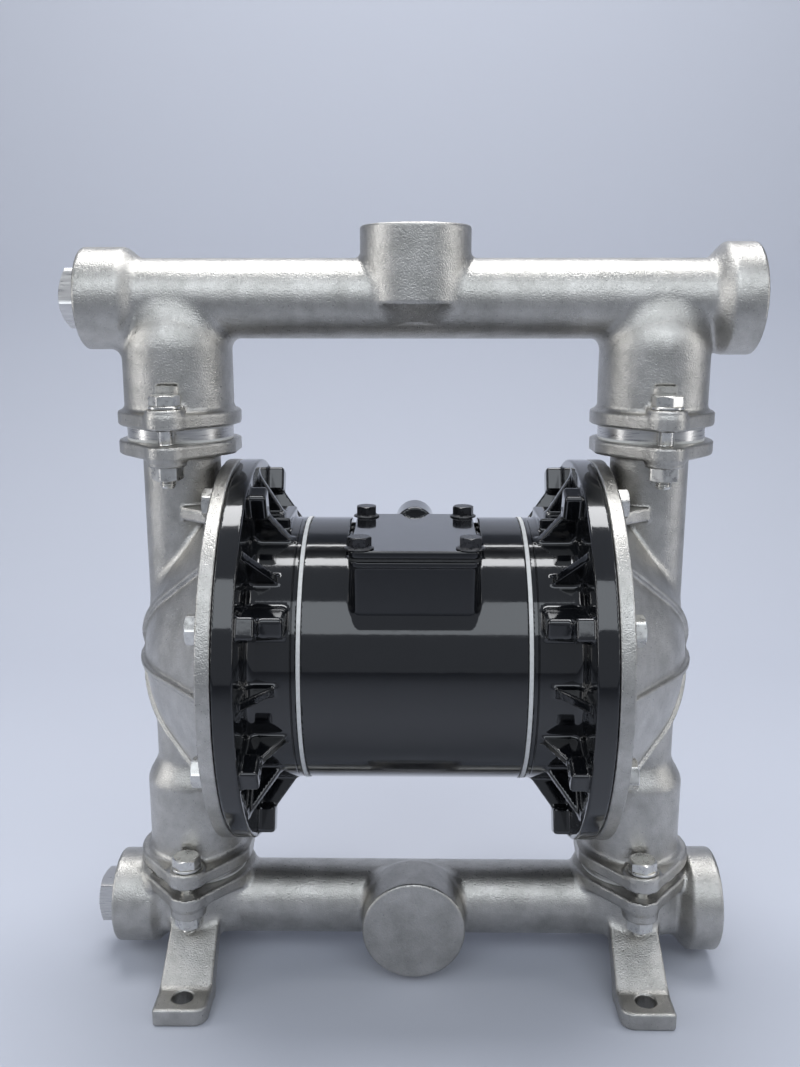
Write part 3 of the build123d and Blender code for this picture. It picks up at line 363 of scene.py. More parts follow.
# dark and pale colour, roughness, scale of the pattern, its depth, metallic
plainFinishes = {
    "white_gasket": ((0.70, 0.70, 0.68), (0.82, 0.82, 0.80), (0.45, 0.6), 300, 0.00003, 0),
    "dark_gasket": ((0.02, 0.02, 0.02), (0.045, 0.045, 0.045), (0.6, 0.8), 500, 0.00005, 0),
    "copper_washer": ((0.45, 0.24, 0.14), (0.62, 0.36, 0.22), (0.35, 0.5), 300, 0.00002, 1),
    "black_fasteners": ((0.012, 0.012, 0.014), (0.03, 0.03, 0.034), (0.22, 0.4), 400, 0.00003, 0),
    "white_fluoropolymer": ((0.78, 0.78, 0.76), (0.86, 0.86, 0.84), (0.35, 0.5), 200, 0.00002, 0),
    "diaphragm_rubber": ((0.02, 0.02, 0.02), (0.04, 0.04, 0.04), (0.5, 0.7), 400, 0.00005, 0),
    "cast_aluminium": ((0.50, 0.50, 0.51), (0.62, 0.62, 0.63), (0.3, 0.45), 300, 0.00004, 1),
    "bronze": ((0.42, 0.28, 0.13), (0.58, 0.41, 0.2), (0.3, 0.45), 300, 0.00003, 1),
}
# dark and pale colour, roughness, scale of the turning marks along each axis
turnedFinishes = {
    "turned_stainless": ((0.52, 0.51, 0.50), (0.68, 0.67, 0.65), (0.24, 0.38), (60, 60, 900)),
    "bright_fasteners": ((0.55, 0.54, 0.51), (0.74, 0.73, 0.70), (0.24, 0.36), (260, 260, 260)),
}
finishes = {"cast_stainless": castStainless(), "black_enamel": blackEnamel()}
finishes.update({name: plainSurface(name, *look) for name, look in plainFinishes.items()})
finishes.update({name: turnedSteel(name, *look) for name, look in turnedFinishes.items()})
slotOf = {part["node"]: part["material_slot"] for part in record["subparts"]}
for node, solid in frame["nodes"].items():
    solid.data.materials.clear()
    solid.data.materials.append(finishes[slotOf[node]])
print("materials made:", len(finishes))

# shared sizes of the stainless castings
pipe = {
    "r": 25.0, "bore": 19.0, "portR": 35.0, "portStart": 182.0, "portRun": 13.0, "portHole": 22.4, "portDepth": 22.0,
    "bellR": 31.8, "bellStart": 172.0, "bellRun": 12.0, "edge": 2.2, "boreStart": 18.0, "boreEdge": 1.0, "past": 9.0,
}
joint = {
    "side": 39.5, "earR": 12.0, "earY": 42.0, "plate": 9.0, "ear": 13.0, "inletEar": 16.0, "footEar": 11.0,
    "plateEdge": 1.6, "earEdge": 1.4, "earCove": 2.0, "cove": 4.0, "spot": 10.5, "spotEdge": 0.8, "rim": 1.0,
    "spigotR": 30.1, "spigotDepth": 4.0, "seamEdge": 0.5, "mouthEdge": 0.8,
}


def manifoldPipe(x, y, z, level):
    p = pipe
    bell = (p["bellR"] - p["r"]) * step01((-x - p["bellStart"]) / p["bellRun"])
    port = (p["portR"] - p["r"]) * step01((x - p["portStart"]) / p["portRun"])
    body = np.hypot(y, z - level) - p["r"] - bell - port
    return kept(body * 0.9, slab(x, -plugEnd, portEnd), p["edge"])


def columnJoint(x, y, z, low, high, earLow, earHigh):
    j = joint
    ax = np.abs(x) - columnX
    plate = kept(earPlate(ax, y, j["side"], j["earR"], j["earY"]), slab(z, low, high), j["plateEdge"])
    ears = kept(np.hypot(ax, np.abs(y) - j["earY"]) - j["earR"], slab(z, earLow, earHigh), j["earEdge"])
    return joined(plate, ears, j["earCove"])


def boltSpots(x, y, z, low, high):
    column = np.hypot(np.abs(x) - columnX, np.abs(y) - joint["earY"]) - joint["spot"]
    return kept(column, slab(z, low, high), joint["spotEdge"])


def pipeBores(x, y, z, level):
    p = pipe
    radius = np.hypot(y, z - level)
    bore = kept(radius - p["bore"], slab(x, -plugEnd + p["boreStart"], portEnd + p["past"]), p["boreEdge"])
    mouth = kept(radius - p["portHole"], slab(x, portEnd - p["portDepth"], portEnd + p["past"]), p["boreEdge"])
    return np.minimum(bore, mouth)


outletSizes = {
    "riser": 35.0, "wall": 7.0, "domeZ": 428.0, "riserCove": 7.0, "bossR": 35.0, "bossTop": 504.5, "bossEdge": 2.0,
    "bossRim": 457.0, "bossRoot": 446.0, "undercut": (9.5, 11.0), "rimEdge": 1.2, "bossCove": 3.5, "spotRun": 14.0,
}


def outletManifoldShape(x, y, z):
    s, j = outletSizes, joint
    ax = np.abs(x) - columnX
    body = manifoldPipe(x, y, z, outletZ)
    riser = np.sqrt(ax**2 + y**2 + np.maximum(z - s["domeZ"], 0) ** 2) - s["riser"]
    riser = np.maximum(riser, outletJoint - z)
    body = joined(body, riser, s["riserCove"])
    fall, back = s["undercut"]
    under = ((np.hypot(x, y) - s["bossR"]) * fall - (z - s["bossRim"]) * back) / sqrt(fall * fall + back * back)
    under = np.maximum(under, s["bossRoot"] - z)
    boss = kept(np.hypot(x, y) - s["bossR"], under, s["rimEdge"])
    boss = kept(boss, z - s["bossTop"], s["bossEdge"])
    body = joined(body, boss, s["bossCove"])
    earTop = outletJoint + j["ear"]
    body = joined(body, columnJoint(x, y, z, outletJoint, outletJoint + j["plate"], outletJoint, earTop), j["cove"])
    body = cutBy(body, boltSpots(x, y, z, earTop, earTop + s["spotRun"]), j["rim"])
    chamber = np.sqrt(ax**2 + y**2 + np.maximum(z - s["domeZ"], 0) ** 2) - s["riser"] + s["wall"]
    spigot = kept(np.hypot(ax, y) - j["spigotR"], z - outletJoint - j["spigotDepth"], j["seamEdge"])
    body = cutBy(body, np.minimum(chamber, spigot), j["mouthEdge"])
    body = cutBy(body, pipeBores(x, y, z, outletZ), j["rim"])
    return np.maximum(body, outletJoint - z)


footSizes = {
    "legTop": (24.0, 36.0), "legToe": (64.0, 6.0), "halfT": 7.0, "legTaper": 1.2, "legEdge": 1.6, "legEnd": 2.0,
    "legStart": 12.0, "padX": (134.0, 169.0), "padY": (56.0, 90.0), "padT": 12.0, "padEdge": 1.8, "toeCove": 1.5,
    "innerCorner": 9.0, "outerCorner": 2.5, "hole": 6.75, "holeX": 151.5, "holeY": 76.0, "holeEdge": 0.8,
}


def footShape(x, y, z):
    s = footSizes
    ax, ay = np.abs(x), np.abs(y)
    (topY, topZ), (toeY, toeZ) = s["legTop"], s["legToe"]
    run = np.hypot(toeY - topY, toeZ - topZ)
    dy, dz = (toeY - topY) / run, (toeZ - topZ) / run
    along = (ay - topY) * dy + (z - topZ) * dz
    across = -(ay - topY) * dz + (z - topZ) * dy
    middle = (s["padX"][0] + s["padX"][1]) / 2
    halfPad = (s["padX"][1] - s["padX"][0]) / 2
    half = halfPad - s["legTaper"] * np.clip(1 - along / run, 0, 1)
    leg = kept(np.abs(across) - s["halfT"], np.abs(ax - middle) - half, s["legEdge"])
    leg = kept(leg, slab(along, -s["legStart"], run + s["legEnd"]), s["legEnd"])
    corner = np.where(ax < middle, s["innerCorner"], s["outerCorner"])
    qx = np.abs(ax - middle) - halfPad + corner
    qy = ay - s["padY"][1] + corner
    plan = np.hypot(np.maximum(qx, 0), np.maximum(qy, 0)) + np.minimum(np.maximum(qx, qy), 0) - corner
    plan = np.maximum(plan, s["padY"][0] - ay)
    foot = joined(leg, kept(plan, slab(z, 0, s["padT"]), s["padEdge"]), s["toeCove"])
    hole = np.hypot(ax - s["holeX"], ay - s["holeY"]) - s["hole"]
    return cutBy(np.maximum(foot, -z), hole, s["holeEdge"])


inletSizes = {
    "neck": 34.0, "neckBase": 26.0, "neckEdge": 8.0, "neckCove": 7.0, "bossR": 35.0, "bossFace": 45.5,
    "bossRoot": 6.0, "rootEdge": 9.0, "bossEdge": 1.6, "bossCove": 5.0, "footCove": 4.0, "spotRun": 12.0,
    "flatGrow": 1.0, "flatRight": 184.0, "flatLeft": 175.0, "seatR": 34.5, "seatBore": 16.0,
}


def inletManifoldShape(x, y, z):
    s, j = inletSizes, joint
    ax = np.abs(x) - columnX
    body = manifoldPipe(x, y, z, inletZ)
    neck = kept(np.hypot(ax, y) - s["neck"], s["neckBase"] - z, s["neckEdge"])
    body = joined(body, np.maximum(neck, z - inletJoint), s["neckCove"])
    boss = kept(np.hypot(x, z - inletZ) - s["bossR"], y + s["bossRoot"], s["rootEdge"])
    boss = kept(boss, -s["bossFace"] - y, s["bossEdge"])
    body = joined(body, boss, s["bossCove"])
    body = joined(body, footShape(x, y, z), s["footCove"])
    earLow = inletJoint - j["inletEar"]
    body = joined(body, columnJoint(x, y, z, inletJoint - j["plate"], inletJoint, earLow, inletJoint), j["cove"])
    body = cutBy(body, boltSpots(x, y, z, earLow - s["spotRun"], earLow), j["rim"])
    # nothing stands above the joint face, except the ends of the pipe
    grow = s["flatGrow"]
    flat = np.maximum(earPlate(ax, y, j["side"] + grow, j["earR"] + grow, j["earY"]), inletJoint - z)
    body = np.maximum(body, -np.maximum(flat, np.maximum(x - s["flatRight"], -x - s["flatLeft"])))
    steps = ((s["seatR"], inletJoint), (j["spigotR"], inletJoint - j["spigotDepth"]), (s["seatBore"], inletZ))
    seat = np.minimum.reduce([kept(np.hypot(ax, y) - r, level - z, j["seamEdge"]) for r, level in steps])
    body = cutBy(body, seat, j["mouthEdge"])
    body = cutBy(body, pipeBores(x, y, z, inletZ), j["rim"])
    return np.maximum(body, -z)


capSizes = {
    "noseX": 180.5, "noseR": 105.0, "slope": 50.5, "wall": 6.0, "bowlR": 97.0, "ringT": 9.2, "ringEdge": 1.2,
    "ringCove": 4.0, "domeSunk": 3.0, "ribs": 8, "ribT": 4.0, "ribH": 3.0, "ribEdge": 1.0, "ribCove": 1.2,
    "ribSunk": 2.0, "ribFree": 0.38, "column": 25.0, "bore": 19.0, "columnCove": 4.0, "cage": 32.5, "cageTop": 134.0,
    "cageRun": 20.0, "cageWider": 7.5, "boltCircle": 115.0, "bolts": 8, "spotDepth": 11.0, "footSpot": 12.0,
    "seatR": 30.1, "seatDepth": 4.0, "shelf": (321.0, 330.0), "shelfHalf": 44.0, "shelfTaper": 0.75, "shelfEdge": 1.5,
    "reach": 192.5,
}


def bowl(x, radius, offset):
    s = capSizes
    turn = radians(90 - s["slope"])
    dx = x - (s["noseX"] - s["noseR"])
    flank = dx * cos(turn) + radius * sin(turn)
    nose = np.hypot(dx, radius)
    onNose = radius * cos(turn) < dx * sin(turn)
    return np.where(onNose, nose, flank) - s["noseR"] - offset


def fluidCapShape(x, y, z):
    s, j = capSizes, joint
    radius = np.hypot(y, z - shaftZ)
    beside = np.hypot(x - columnX, y)
    face = clampX + s["ringT"]
    ring = kept(radius - flangeR, slab(x, clampX, face), s["ringEdge"])
    dome = np.maximum(bowl(x, radius, 0), face - s["domeSunk"] - x)
    _, side = aroundShaft(y, z, s["ribs"], 0)
    side = np.where(np.abs(y) < s["ribFree"] * radius, 50, side)  # no rib under the column
    rib = kept(bowl(x, radius, s["ribH"]), np.abs(side) - s["ribT"] / 2, s["ribEdge"])
    body = joined(ring, dome, s["ringCove"])
    body = joined(body, np.maximum(rib, face - s["ribSunk"] - x), s["ribCove"])
    cage = (s["cage"] - s["column"]) * step01((s["cageTop"] + s["cageRun"] - z) / s["cageRun"])
    column = np.maximum(beside - s["column"] - cage, slab(z, capFoot, capTop))
    body = joined(body, column, s["columnCove"])
    # a flat shelf between the flange and the column
    shelf = kept(slab(z, *s["shelf"]), np.abs(y) - s["shelfHalf"] + s["shelfTaper"] * (x - face), s["shelfEdge"])
    shelf = np.maximum(shelf, np.maximum(face - s["ribSunk"] - x, x - columnX))
    body = joined(body, shelf, s["shelfEdge"])
    body = joined(body, columnJoint(x, y, z, capTop - j["plate"], capTop, capTop - j["ear"], capTop), j["cove"])
    earTop = capFoot + j["footEar"]
    body = joined(body, columnJoint(x, y, z, capFoot, capFoot + j["plate"], capFoot, earTop), j["cove"])
    body = cutBy(body, boltSpots(x, y, z, earTop, earTop + s["footSpot"]), j["rim"])
    out, aside = aroundShaft(y, z, s["bolts"], pi / s["bolts"])
    spots = kept(np.hypot(out - s["boltCircle"], aside) - j["spot"], face - x, j["spotEdge"])
    body = cutBy(body, np.maximum(spots, x - face - s["spotDepth"]), j["rim"])
    hollow = np.maximum(bowl(x, radius, -s["wall"]), radius - s["bowlR"])
    bore = beside - s["bore"] - np.where(z < s["cageTop"], s["cageWider"], 0)
    recess = np.maximum(beside - s["seatR"], np.minimum(capTop - z, z - capFoot) - s["seatDepth"])
    body = np.maximum(body, -np.minimum(np.minimum(hollow, bore), recess))
    return np.maximum(body, np.maximum(clampX - x, slab(z, capFoot, capTop)))


chamberSizes = {
    "rimT": 13.0, "rimEdge": 1.4, "rimCove": 7.0, "bossW": 14.0, "bossIn": 106.0, "bossOut": 123.5, "bossDepth": 11.0,
    "bossRun": 25.0, "bossSunk": 3.0, "bossEdge": 2.4, "strutCove": 1.5, "web": 6.0, "webRun": 19.0, "webTop": 118.0,
    "webSunk": 2.0, "webEdge": 1.2, "webCove": 2.2, "lugX": 79.0, "lugY": 97.5, "lugZ": 271.0, "lugH": 13.0,
    "lugHalf": 15.0, "lugEdge": 3.0, "lugCove": 2.5, "padY": 22.0, "padH": 5.0, "padHalf": 12.0, "padIn": 10.0,
    "padEdge": 1.5, "padCove": 2.0, "bowlStart": (93.3, 78.4), "bowlEnd": (111.3, 97.0), "beadR": 106.1,
    "floor": 8.0, "shaftBore": 13.5,
}


def wedge(x, r, xTip, xTop, rLow, rTop, xBack, sunk=4):
    # triangle of a web: a sloping edge from its tip on the neck up to the rim
    run, rise = xTop - xTip, rTop - rLow
    length = sqrt(run * run + rise * rise)
    slope = ((xTip - x) * rise + (r - rLow) * run) / length
    return np.maximum(slope, np.maximum(x - xBack, rLow - sunk - r))


def airChamberShape(x, y, z):
    s = chamberSizes
    rim = clampX - s["rimT"]
    radius = np.hypot(y, z - shaftZ)
    body = np.maximum(radius - neckR, slab(x, chamberX, clampX))
    body = joined(body, kept(radius - flangeR, slab(x, rim, clampX), s["rimEdge"]), s["rimCove"])
    # bolt bosses, each carried by a strut
    out, aside = aroundShaft(y, z, 8, pi / 8)
    halfDepth, halfR = (s["bossDepth"] + s["bossSunk"]) / 2, (s["bossOut"] - s["bossIn"]) / 2
    centre = (rim - s["bossDepth"] + halfDepth, (s["bossOut"] + s["bossIn"]) / 2, 0)
    boss = roundBox(x, out, aside, centre, (halfDepth, halfR, s["bossW"] / 2), s["bossEdge"])
    back = rim + s["webSunk"]
    strut = wedge(x, out, rim - s["bossRun"], rim - s["bossDepth"], neckR, s["bossIn"] + 1, back)
    strut = kept(np.maximum(strut, out - s["bossIn"] - s["bossSunk"]), np.abs(aside) - s["web"] / 2, s["webEdge"])
    body = joined(body, joined(boss, strut, s["strutCove"]), s["webCove"])
    # plain webs between them
    out, aside = aroundShaft(y, z, 8, 0)
    web = wedge(x, out, rim - s["webRun"], rim, neckR, s["webTop"], back)
    body = joined(body, kept(web, np.abs(aside) - s["web"] / 2, s["webEdge"]), s["webCove"])
    lugCentre = ((s["lugX"] + rim) / 2, s["lugHalf"] - s["lugY"], s["lugZ"])
    lugHalves = ((rim - s["lugX"]) / 2 + s["webSunk"], s["lugHalf"], s["lugH"] / 2)
    body = joined(body, roundBox(x, y, z, lugCentre, lugHalves, s["lugEdge"]), s["lugCove"])
    padCentre = (rim - s["padIn"], 0, shaftZ + neckR)
    pad = roundBox(x, y, z, padCentre, (s["padHalf"], s["padY"], s["padH"]), s["padEdge"])
    body = joined(body, pad, s["padCove"])
    # bowl behind the diaphragm, and the hole for the shaft
    (startX, floorR), (endX, wideR) = s["bowlStart"], s["bowlEnd"]
    flare = floorR + np.clip((x - startX) / (endX - startX), 0, 1) * (wideR - floorR)
    hollow = np.maximum(radius - np.where(x > endX, s["beadR"], flare), chamberX + s["floor"] - x)
    hollow = np.minimum(hollow, radius - s["shaftBore"])
    return np.maximum(np.maximum(body, -hollow), np.maximum(x - clampX, chamberX - x))


blockSizes = {
    "halfX": 40.0, "front": 78.5, "back": 38.0, "corner": 6.0, "lip": 1.0, "lipH": 4.0, "lipEdge": 0.5,
    "skirt": 248.0, "pocketClear": 2.0, "pocketEdge": 1.2, "boxCove": 2.5, "lowCorner": 10.0, "faceY": -70.0,
    "portEdge": 1.5, "holeEdge": 0.8, "portCove": 4.0,
    # level, radius, reach, hole radius, hole depth
    "airInlet": (304.5, 13.5, 68.0, 9.3, 15.0), "exhaust": (238.0, 19.0, 100.0, 12.0, 17.0),
}


def boxPlan(x, y, half, front, corner):
    qx = np.abs(x) - half + corner
    qy = -y - front + corner
    return np.hypot(np.maximum(qx, 0), np.maximum(qy, 0)) + np.minimum(np.maximum(qx, qy), 0) - corner


def backPort(x, y, z, port):
    s = blockSizes
    level, r, reach, hole, depth = port
    radius = np.hypot(x, z - level)
    boss = kept(radius - r, slab(y, s["back"], reach), s["portEdge"])
    return boss, kept(radius - hole, reach - depth - y, s["holeEdge"])


def centreBlockShape(x, y, z):
    s = blockSizes
    radius = np.hypot(y, z - shaftZ)
    body = np.maximum(radius - neckR, np.abs(x) - blockHalf)
    clear = s["pocketClear"]
    pocket = np.maximum(np.abs(x) - s["halfX"] - clear, np.maximum(y - s["back"] - clear, boxTop - s["lipH"] - z))
    body = cutBy(body, pocket, s["pocketEdge"])
    # valve box with rounded lower corners on its front
    plan = boxPlan(x, y, s["halfX"] - s["lip"], s["front"] - s["lip"], s["corner"])
    lowR = s["lowCorner"]
    low = np.maximum(np.abs(x) - s["halfX"] + s["lip"] + lowR, 0)
    low = np.hypot(low, np.maximum(s["skirt"] + lowR - z, 0)) - lowR
    box = np.maximum(np.maximum(plan, np.maximum(y, s["skirt"] - z)), z - boxTop)
    box = np.maximum(box, np.where(y < s["faceY"], low, -2 * lowR))
    body = joined(body, box, s["boxCove"])
    lip = boxPlan(x, y, s["halfX"], s["front"], s["corner"])
    lip = kept(lip, slab(z, boxTop - s["lipH"], boxTop), s["lipEdge"])
    body = np.minimum(body, np.maximum(lip, y - s["back"]))
    for port in (s["airInlet"], s["exhaust"]):
        boss, hole = backPort(x, y, z, port)
        body = cutBy(joined(body, boss, s["portCove"]), hole, s["holeEdge"])
    # room for the valve sleeve and the shaft bush
    (lowX, lowY, lowZ), (highX, highY, _) = boxMm("valve_sleeve")
    sleeve = np.maximum(slab(x, lowX, highX), np.maximum(slab(y, lowY, highY), lowZ - z))
    bushR = boxMm("shaft_bush_right")[1][2] - shaftZ
    return np.maximum(body, -np.minimum(sleeve, radius - bushR))


netStep = {"outlet": 1.6, "inlet": 1.5, "cap": 1.6, "chamber": 1.5, "block": 1.5, "cover": 1.25}
castPieces("outlet manifold", ["outlet_manifold"], outletManifoldShape,
           (-plugEnd, -54, outletJoint), (portEnd, 54, outletSizes["bossTop"]), netStep["outlet"], "cast_stainless")
castPieces("inlet manifold", ["inlet_manifold"], inletManifoldShape,
           (-plugEnd, -90, 0), (portEnd, 90, inletZ + pipe["portR"]), netStep["inlet"], "cast_stainless")
castPieces("fluid caps", ["fluid_cap_right", "fluid_cap_left"], fluidCapShape,
           (clampX, -flangeR, capFoot), (capSizes["reach"], flangeR, capTop), netStep["cap"], "cast_stainless")
castPieces("air chambers", ["air_chamber_right", "air_chamber_left"], airChamberShape,
           (chamberX, -flangeR, shaftZ - flangeR), (clampX, flangeR, shaftZ + flangeR), netStep["chamber"],
           "black_enamel")
castPieces("centre block", ["centre_block"], centreBlockShape,
           (-blockHalf, -neckR, shaftZ - neckR), (blockHalf, 100, 320), netStep["block"], "black_enamel")


# crisp turned and sawn pieces, made of closed rings about the Z axis
ringCount = 72
crispAngle = 28


def ringAt(r, z, count=ringCount):
    turn = tau * np.arange(count) / count
    r = np.broadcast_to(r, (count,))
    return np.stack([r * np.cos(turn), r * np.sin(turn), np.broadcast_to(z, (count,))], 1)


def skin(rings, closed=False):
    # walls between the rings, with flat ends, or the last ring joined back to the first
    count = len(rings[0])
    rows = len(rings)
    here = np.arange(count)
    after = np.roll(here, -1)
    faces = []
    for k in range(rows if closed else rows - 1):
        low, high = k * count, (k + 1) % rows * count
        faces += np.stack([low + here, low + after, high + after, high + here], 1).tolist()
    if not closed:
        faces += [here[::-1].tolist(), (here + (rows - 1) * count).tolist()]
    return np.concatenate(rings), faces


def together(shells):
    points, faces, start = [], [], 0
    for shellPoints, shellFaces in shells:
        points.append(shellPoints)
        faces += [[start + v for v in face] for face in shellFaces]
        start += len(shellPoints)
    return np.concatenate(points), faces


def raised(shell, dz):
    return shell[0] + (0, 0, dz), shell[1]


def flatsRadius(sides, across, corner):
    # outline of a nut or a square head, its corners slightly worn
    turn = tau * np.arange(ringCount) / ringCount
    sector = tau / sides
    return np.minimum(across / 2 / np.cos((turn + sector / 2) % sector - sector / 2), corner * across / 2)


# corner and tip are shares of half the width across flats
hexShape = {"corner": 1.135, "slope": 30.0, "tip": 0.95, "bevel": 0.35}


def hexHead(across, height):
    h = hexShape
    r = flatsRadius(6, across, h["corner"])
    tipR = h["tip"] * across / 2
    edge = height - (r - tipR) * tan(radians(h["slope"]))
    return skin([ringAt(r - h["bevel"], 0), ringAt(r, h["bevel"]), ringAt(r, edge), ringAt(tipR, height)])


threadSizes = {"pitch": 1.5, "depth": 0.85, "stepsPerTurn": 6, "count": 24, "run": 28.0, "tip": 1.2, "sunk": 0.5}


def shank(r, length):
    # below z = 0: plain, then threaded down to a chamfered end
    t = threadSizes
    start = -max(length - t["run"], 0)
    levels = np.arange(-length + t["tip"], start, t["pitch"] / t["stepsPerTurn"])
    turn = np.arange(t["count"]) / t["count"]
    rings = [ringAt(r - t["tip"], -length, t["count"])]
    for z in levels:
        wave = np.abs(2 * ((z / t["pitch"] - turn) % 1) - 1)
        fade = min((start - z) / t["pitch"], 1)
        rings.append(ringAt(r - t["depth"] * fade * wave, z, t["count"]))
    return skin(rings + [ringAt(r, start, t["count"]), ringAt(r, t["sunk"], t["count"])])


def washerRing(inner, outer, height, edge):
    return skin([ringAt(inner, 0), ringAt(outer - edge, 0), ringAt(outer, edge), ringAt(outer, height - edge),
                 ringAt(outer - edge, height), ringAt(inner, height)], closed=True)


def hexNut(across, height, bore, flare=0.6, bevel=(0.3, 0.4)):
    # the chamfered side is below
    h = hexShape
    r = flatsRadius(6, across, h["corner"])
    tipR = h["tip"] * across / 2
    edge = (r - tipR) * tan(radians(h["slope"]))
    return skin([ringAt(bore + flare, 0), ringAt(tipR, 0), ringAt(r, edge), ringAt(r, height - bevel[0]),
                 ringAt(r - bevel[1], height), ringAt(bore, height), ringAt(bore, flare)], closed=True)


# geometry nodes: one tree sets fasteners round the shaft, the other at the corners of a rectangle
def nodeTree(name, inputs):
    tree = bpy.data.node_groups.new(name, "GeometryNodeTree")
    tree.interface.new_socket("Geometry", in_out="OUTPUT", socket_type="NodeSocketGeometry")
    for label, kind in inputs:
        tree.interface.new_socket(label, in_out="INPUT", socket_type="NodeSocket" + kind)
    return tree, tree.nodes.new("NodeGroupInput").outputs, tree.nodes.new("NodeGroupOutput").inputs


def linked(tree, kind, settings=None, **links):
    # a node with its inputs joined or set, by name, or by number as at0, at1
    node = tree.nodes.new(kind)
    for key, value in (settings or {}).items():
        setattr(node, key, value)
    for key, source in links.items():
        socket = node.inputs[int(key[2:])] if key.startswith("at") else node.inputs[key.replace("_", " ")]
        if isinstance(source, bpy.types.NodeSocket):
            tree.links.new(source, socket)
        else:
            socket.default_value = source
    return node.outputs


def scatter(tree, given, points):
    # one fastener at each point, turned by chance about its own axis, then made real
    chance = linked(tree, "FunctionNodeRandomValue", {"data_type": "FLOAT"}, Seed=given["Seed"])
    low, high = [i for i in chance[1].node.inputs if i.name in ("Min", "Max") and i.type == "VALUE"][:2]
    low.default_value, high.default_value = 0, pi / 3
    turn = linked(tree, "ShaderNodeCombineXYZ", Z=[o for o in chance if o.type == "VALUE" and o.enabled][0])[0]
    return linked(tree, "GeometryNodeInstanceOnPoints", Points=points, Instance=given["Fastener"], Rotation=turn)[0]


def finishTree(tree, given, result, geometry):
    real = linked(tree, "GeometryNodeRealizeInstances", Geometry=geometry)[0]
    tree.links.new(linked(tree, "GeometryNodeSetMaterial", Geometry=real, Material=given["Finish"])[0], result[0])
    return tree


def shaftRingTree():
    tree, given, result = nodeTree("fasteners_round_shaft", [
        ("Fastener", "Geometry"), ("Count", "Int"), ("Circle", "Float"), ("First angle", "Float"),
        ("Reach", "Float"), ("Shaft height", "Float"), ("Seed", "Int"), ("Finish", "Material")])
    circle = linked(tree, "GeometryNodeMeshCircle", Vertices=given["Count"], Radius=given["Circle"])[0]
    first = linked(tree, "ShaderNodeCombineXYZ", Z=given["First angle"])[0]
    reach = linked(tree, "ShaderNodeCombineXYZ", Z=given["Reach"])[0]
    level = linked(tree, "ShaderNodeCombineXYZ", Z=given["Shaft height"])[0]
    circle = linked(tree, "GeometryNodeTransform", Geometry=circle, Translation=reach, Rotation=first)[0]
    ring = scatter(tree, given, circle)
    both = tree.nodes.new("GeometryNodeJoinGeometry")
    for turn in (pi / 2, -pi / 2):
        side = linked(tree, "GeometryNodeTransform", Geometry=ring, Translation=level, Rotation=(0, turn, 0))[0]
        tree.links.new(side, both.inputs[0])
    return finishTree(tree, given, result, both.outputs[0])


def cornersTree():
    tree, given, result = nodeTree("fasteners_at_corners", [
        ("Fastener", "Geometry"), ("Width", "Float"), ("Depth", "Float"), ("Centre", "Float"),
        ("Seed", "Int"), ("Finish", "Material")])
    centre = linked(tree, "ShaderNodeCombineXYZ", Y=given["Centre"])[0]
    grid = linked(tree, "GeometryNodeMeshGrid", at0=given["Width"], at1=given["Depth"], at2=2, at3=2)[0]
    grid = linked(tree, "GeometryNodeTransform", Geometry=grid, Translation=centre)[0]
    return finishTree(tree, given, result, scatter(tree, given, grid))


def repeat(name, tree, shell, inputs, slotName, node):
    piece = meshPiece(name, *shell)
    modifier = piece.modifiers.new("repeat", "NODES")
    modifier.node_group = tree
    inputs = {**inputs, "Finish": finishes[slotName]}
    for item in tree.interface.items_tree:
        if item.in_out == "INPUT" and item.name in inputs:
            modifier[item.identifier] = inputs[item.name]
    graph = bpy.context.evaluated_depsgraph_get()
    mesh = bpy.data.meshes.new_from_object(piece.evaluated_get(graph))
    piece.modifiers.remove(modifier)
    piece.data = mesh
    mesh.shade_smooth()
    mesh.set_sharp_from_angle(angle=radians(crispAngle))
    finishPiece(piece, slotName, node)
    print(name, len(mesh.polygons), "faces")


shaftRing = shaftRingTree()
corners = cornersTree()
boltSizes = {
    "r": 5.0, "across": 17.0, "head": 6.6, "nut": 8.4, "washer": 1.8, "washerR": 10.0, "washerEdge": 0.3,
    "bore": 5.25, "length": 29.5,
}
b = boltSizes
boltHead = hexHead(b["across"], b["head"])
repeat("clamp_bolts_ring", shaftRing, together([boltHead, shank(b["r"], b["length"])]), {
    "Count": capSizes["bolts"], "Circle": capSizes["boltCircle"] * mm, "First angle": pi / capSizes["bolts"],
    "Reach": (clampX + capSizes["ringT"]) * mm, "Shaft height": shaftZ * mm, "Seed": 4,
}, "bright_fasteners", "clamp_bolts")

# each corner carries the upper and the lower joint's fasteners
columnCorners = {"Width": 2 * columnX * mm, "Depth": 2 * joint["earY"] * mm, "Centre": 0.0}
washerLow, washerTop = (corner[2] for corner in boxMm("column_washers"))
nutLow, nutTop = (corner[2] for corner in boxMm("column_nuts"))
boltLow = boxMm("column_bolts")[0][2]
headLevels = (washerTop, washerLow + b["washer"])
boltEnds = (nutTop - b["nut"] - (nutLow - boltLow), boltLow)
shanks = [raised(shank(b["r"], z - end), z) for z, end in zip(headLevels, boltEnds)]
repeat("column_bolts_set", corners, together([raised(boltHead, z) for z in headLevels] + shanks),
       {**columnCorners, "Seed": 7}, "bright_fasteners", "column_bolts")
nut = hexNut(b["across"], b["nut"], b["r"])
repeat("column_nuts_set", corners, together([raised(nut, nutTop - b["nut"]), raised(nut, nutLow)]),
       {**columnCorners, "Seed": 12}, "bright_fasteners", "column_nuts")
washer = washerRing(b["bore"], b["washerR"], b["washer"], b["washerEdge"])
repeat("column_washers_set", corners, together([raised(washer, z - b["washer"]) for z in headLevels]),
       {**columnCorners, "Seed": 3}, "bright_fasteners", "column_washers")

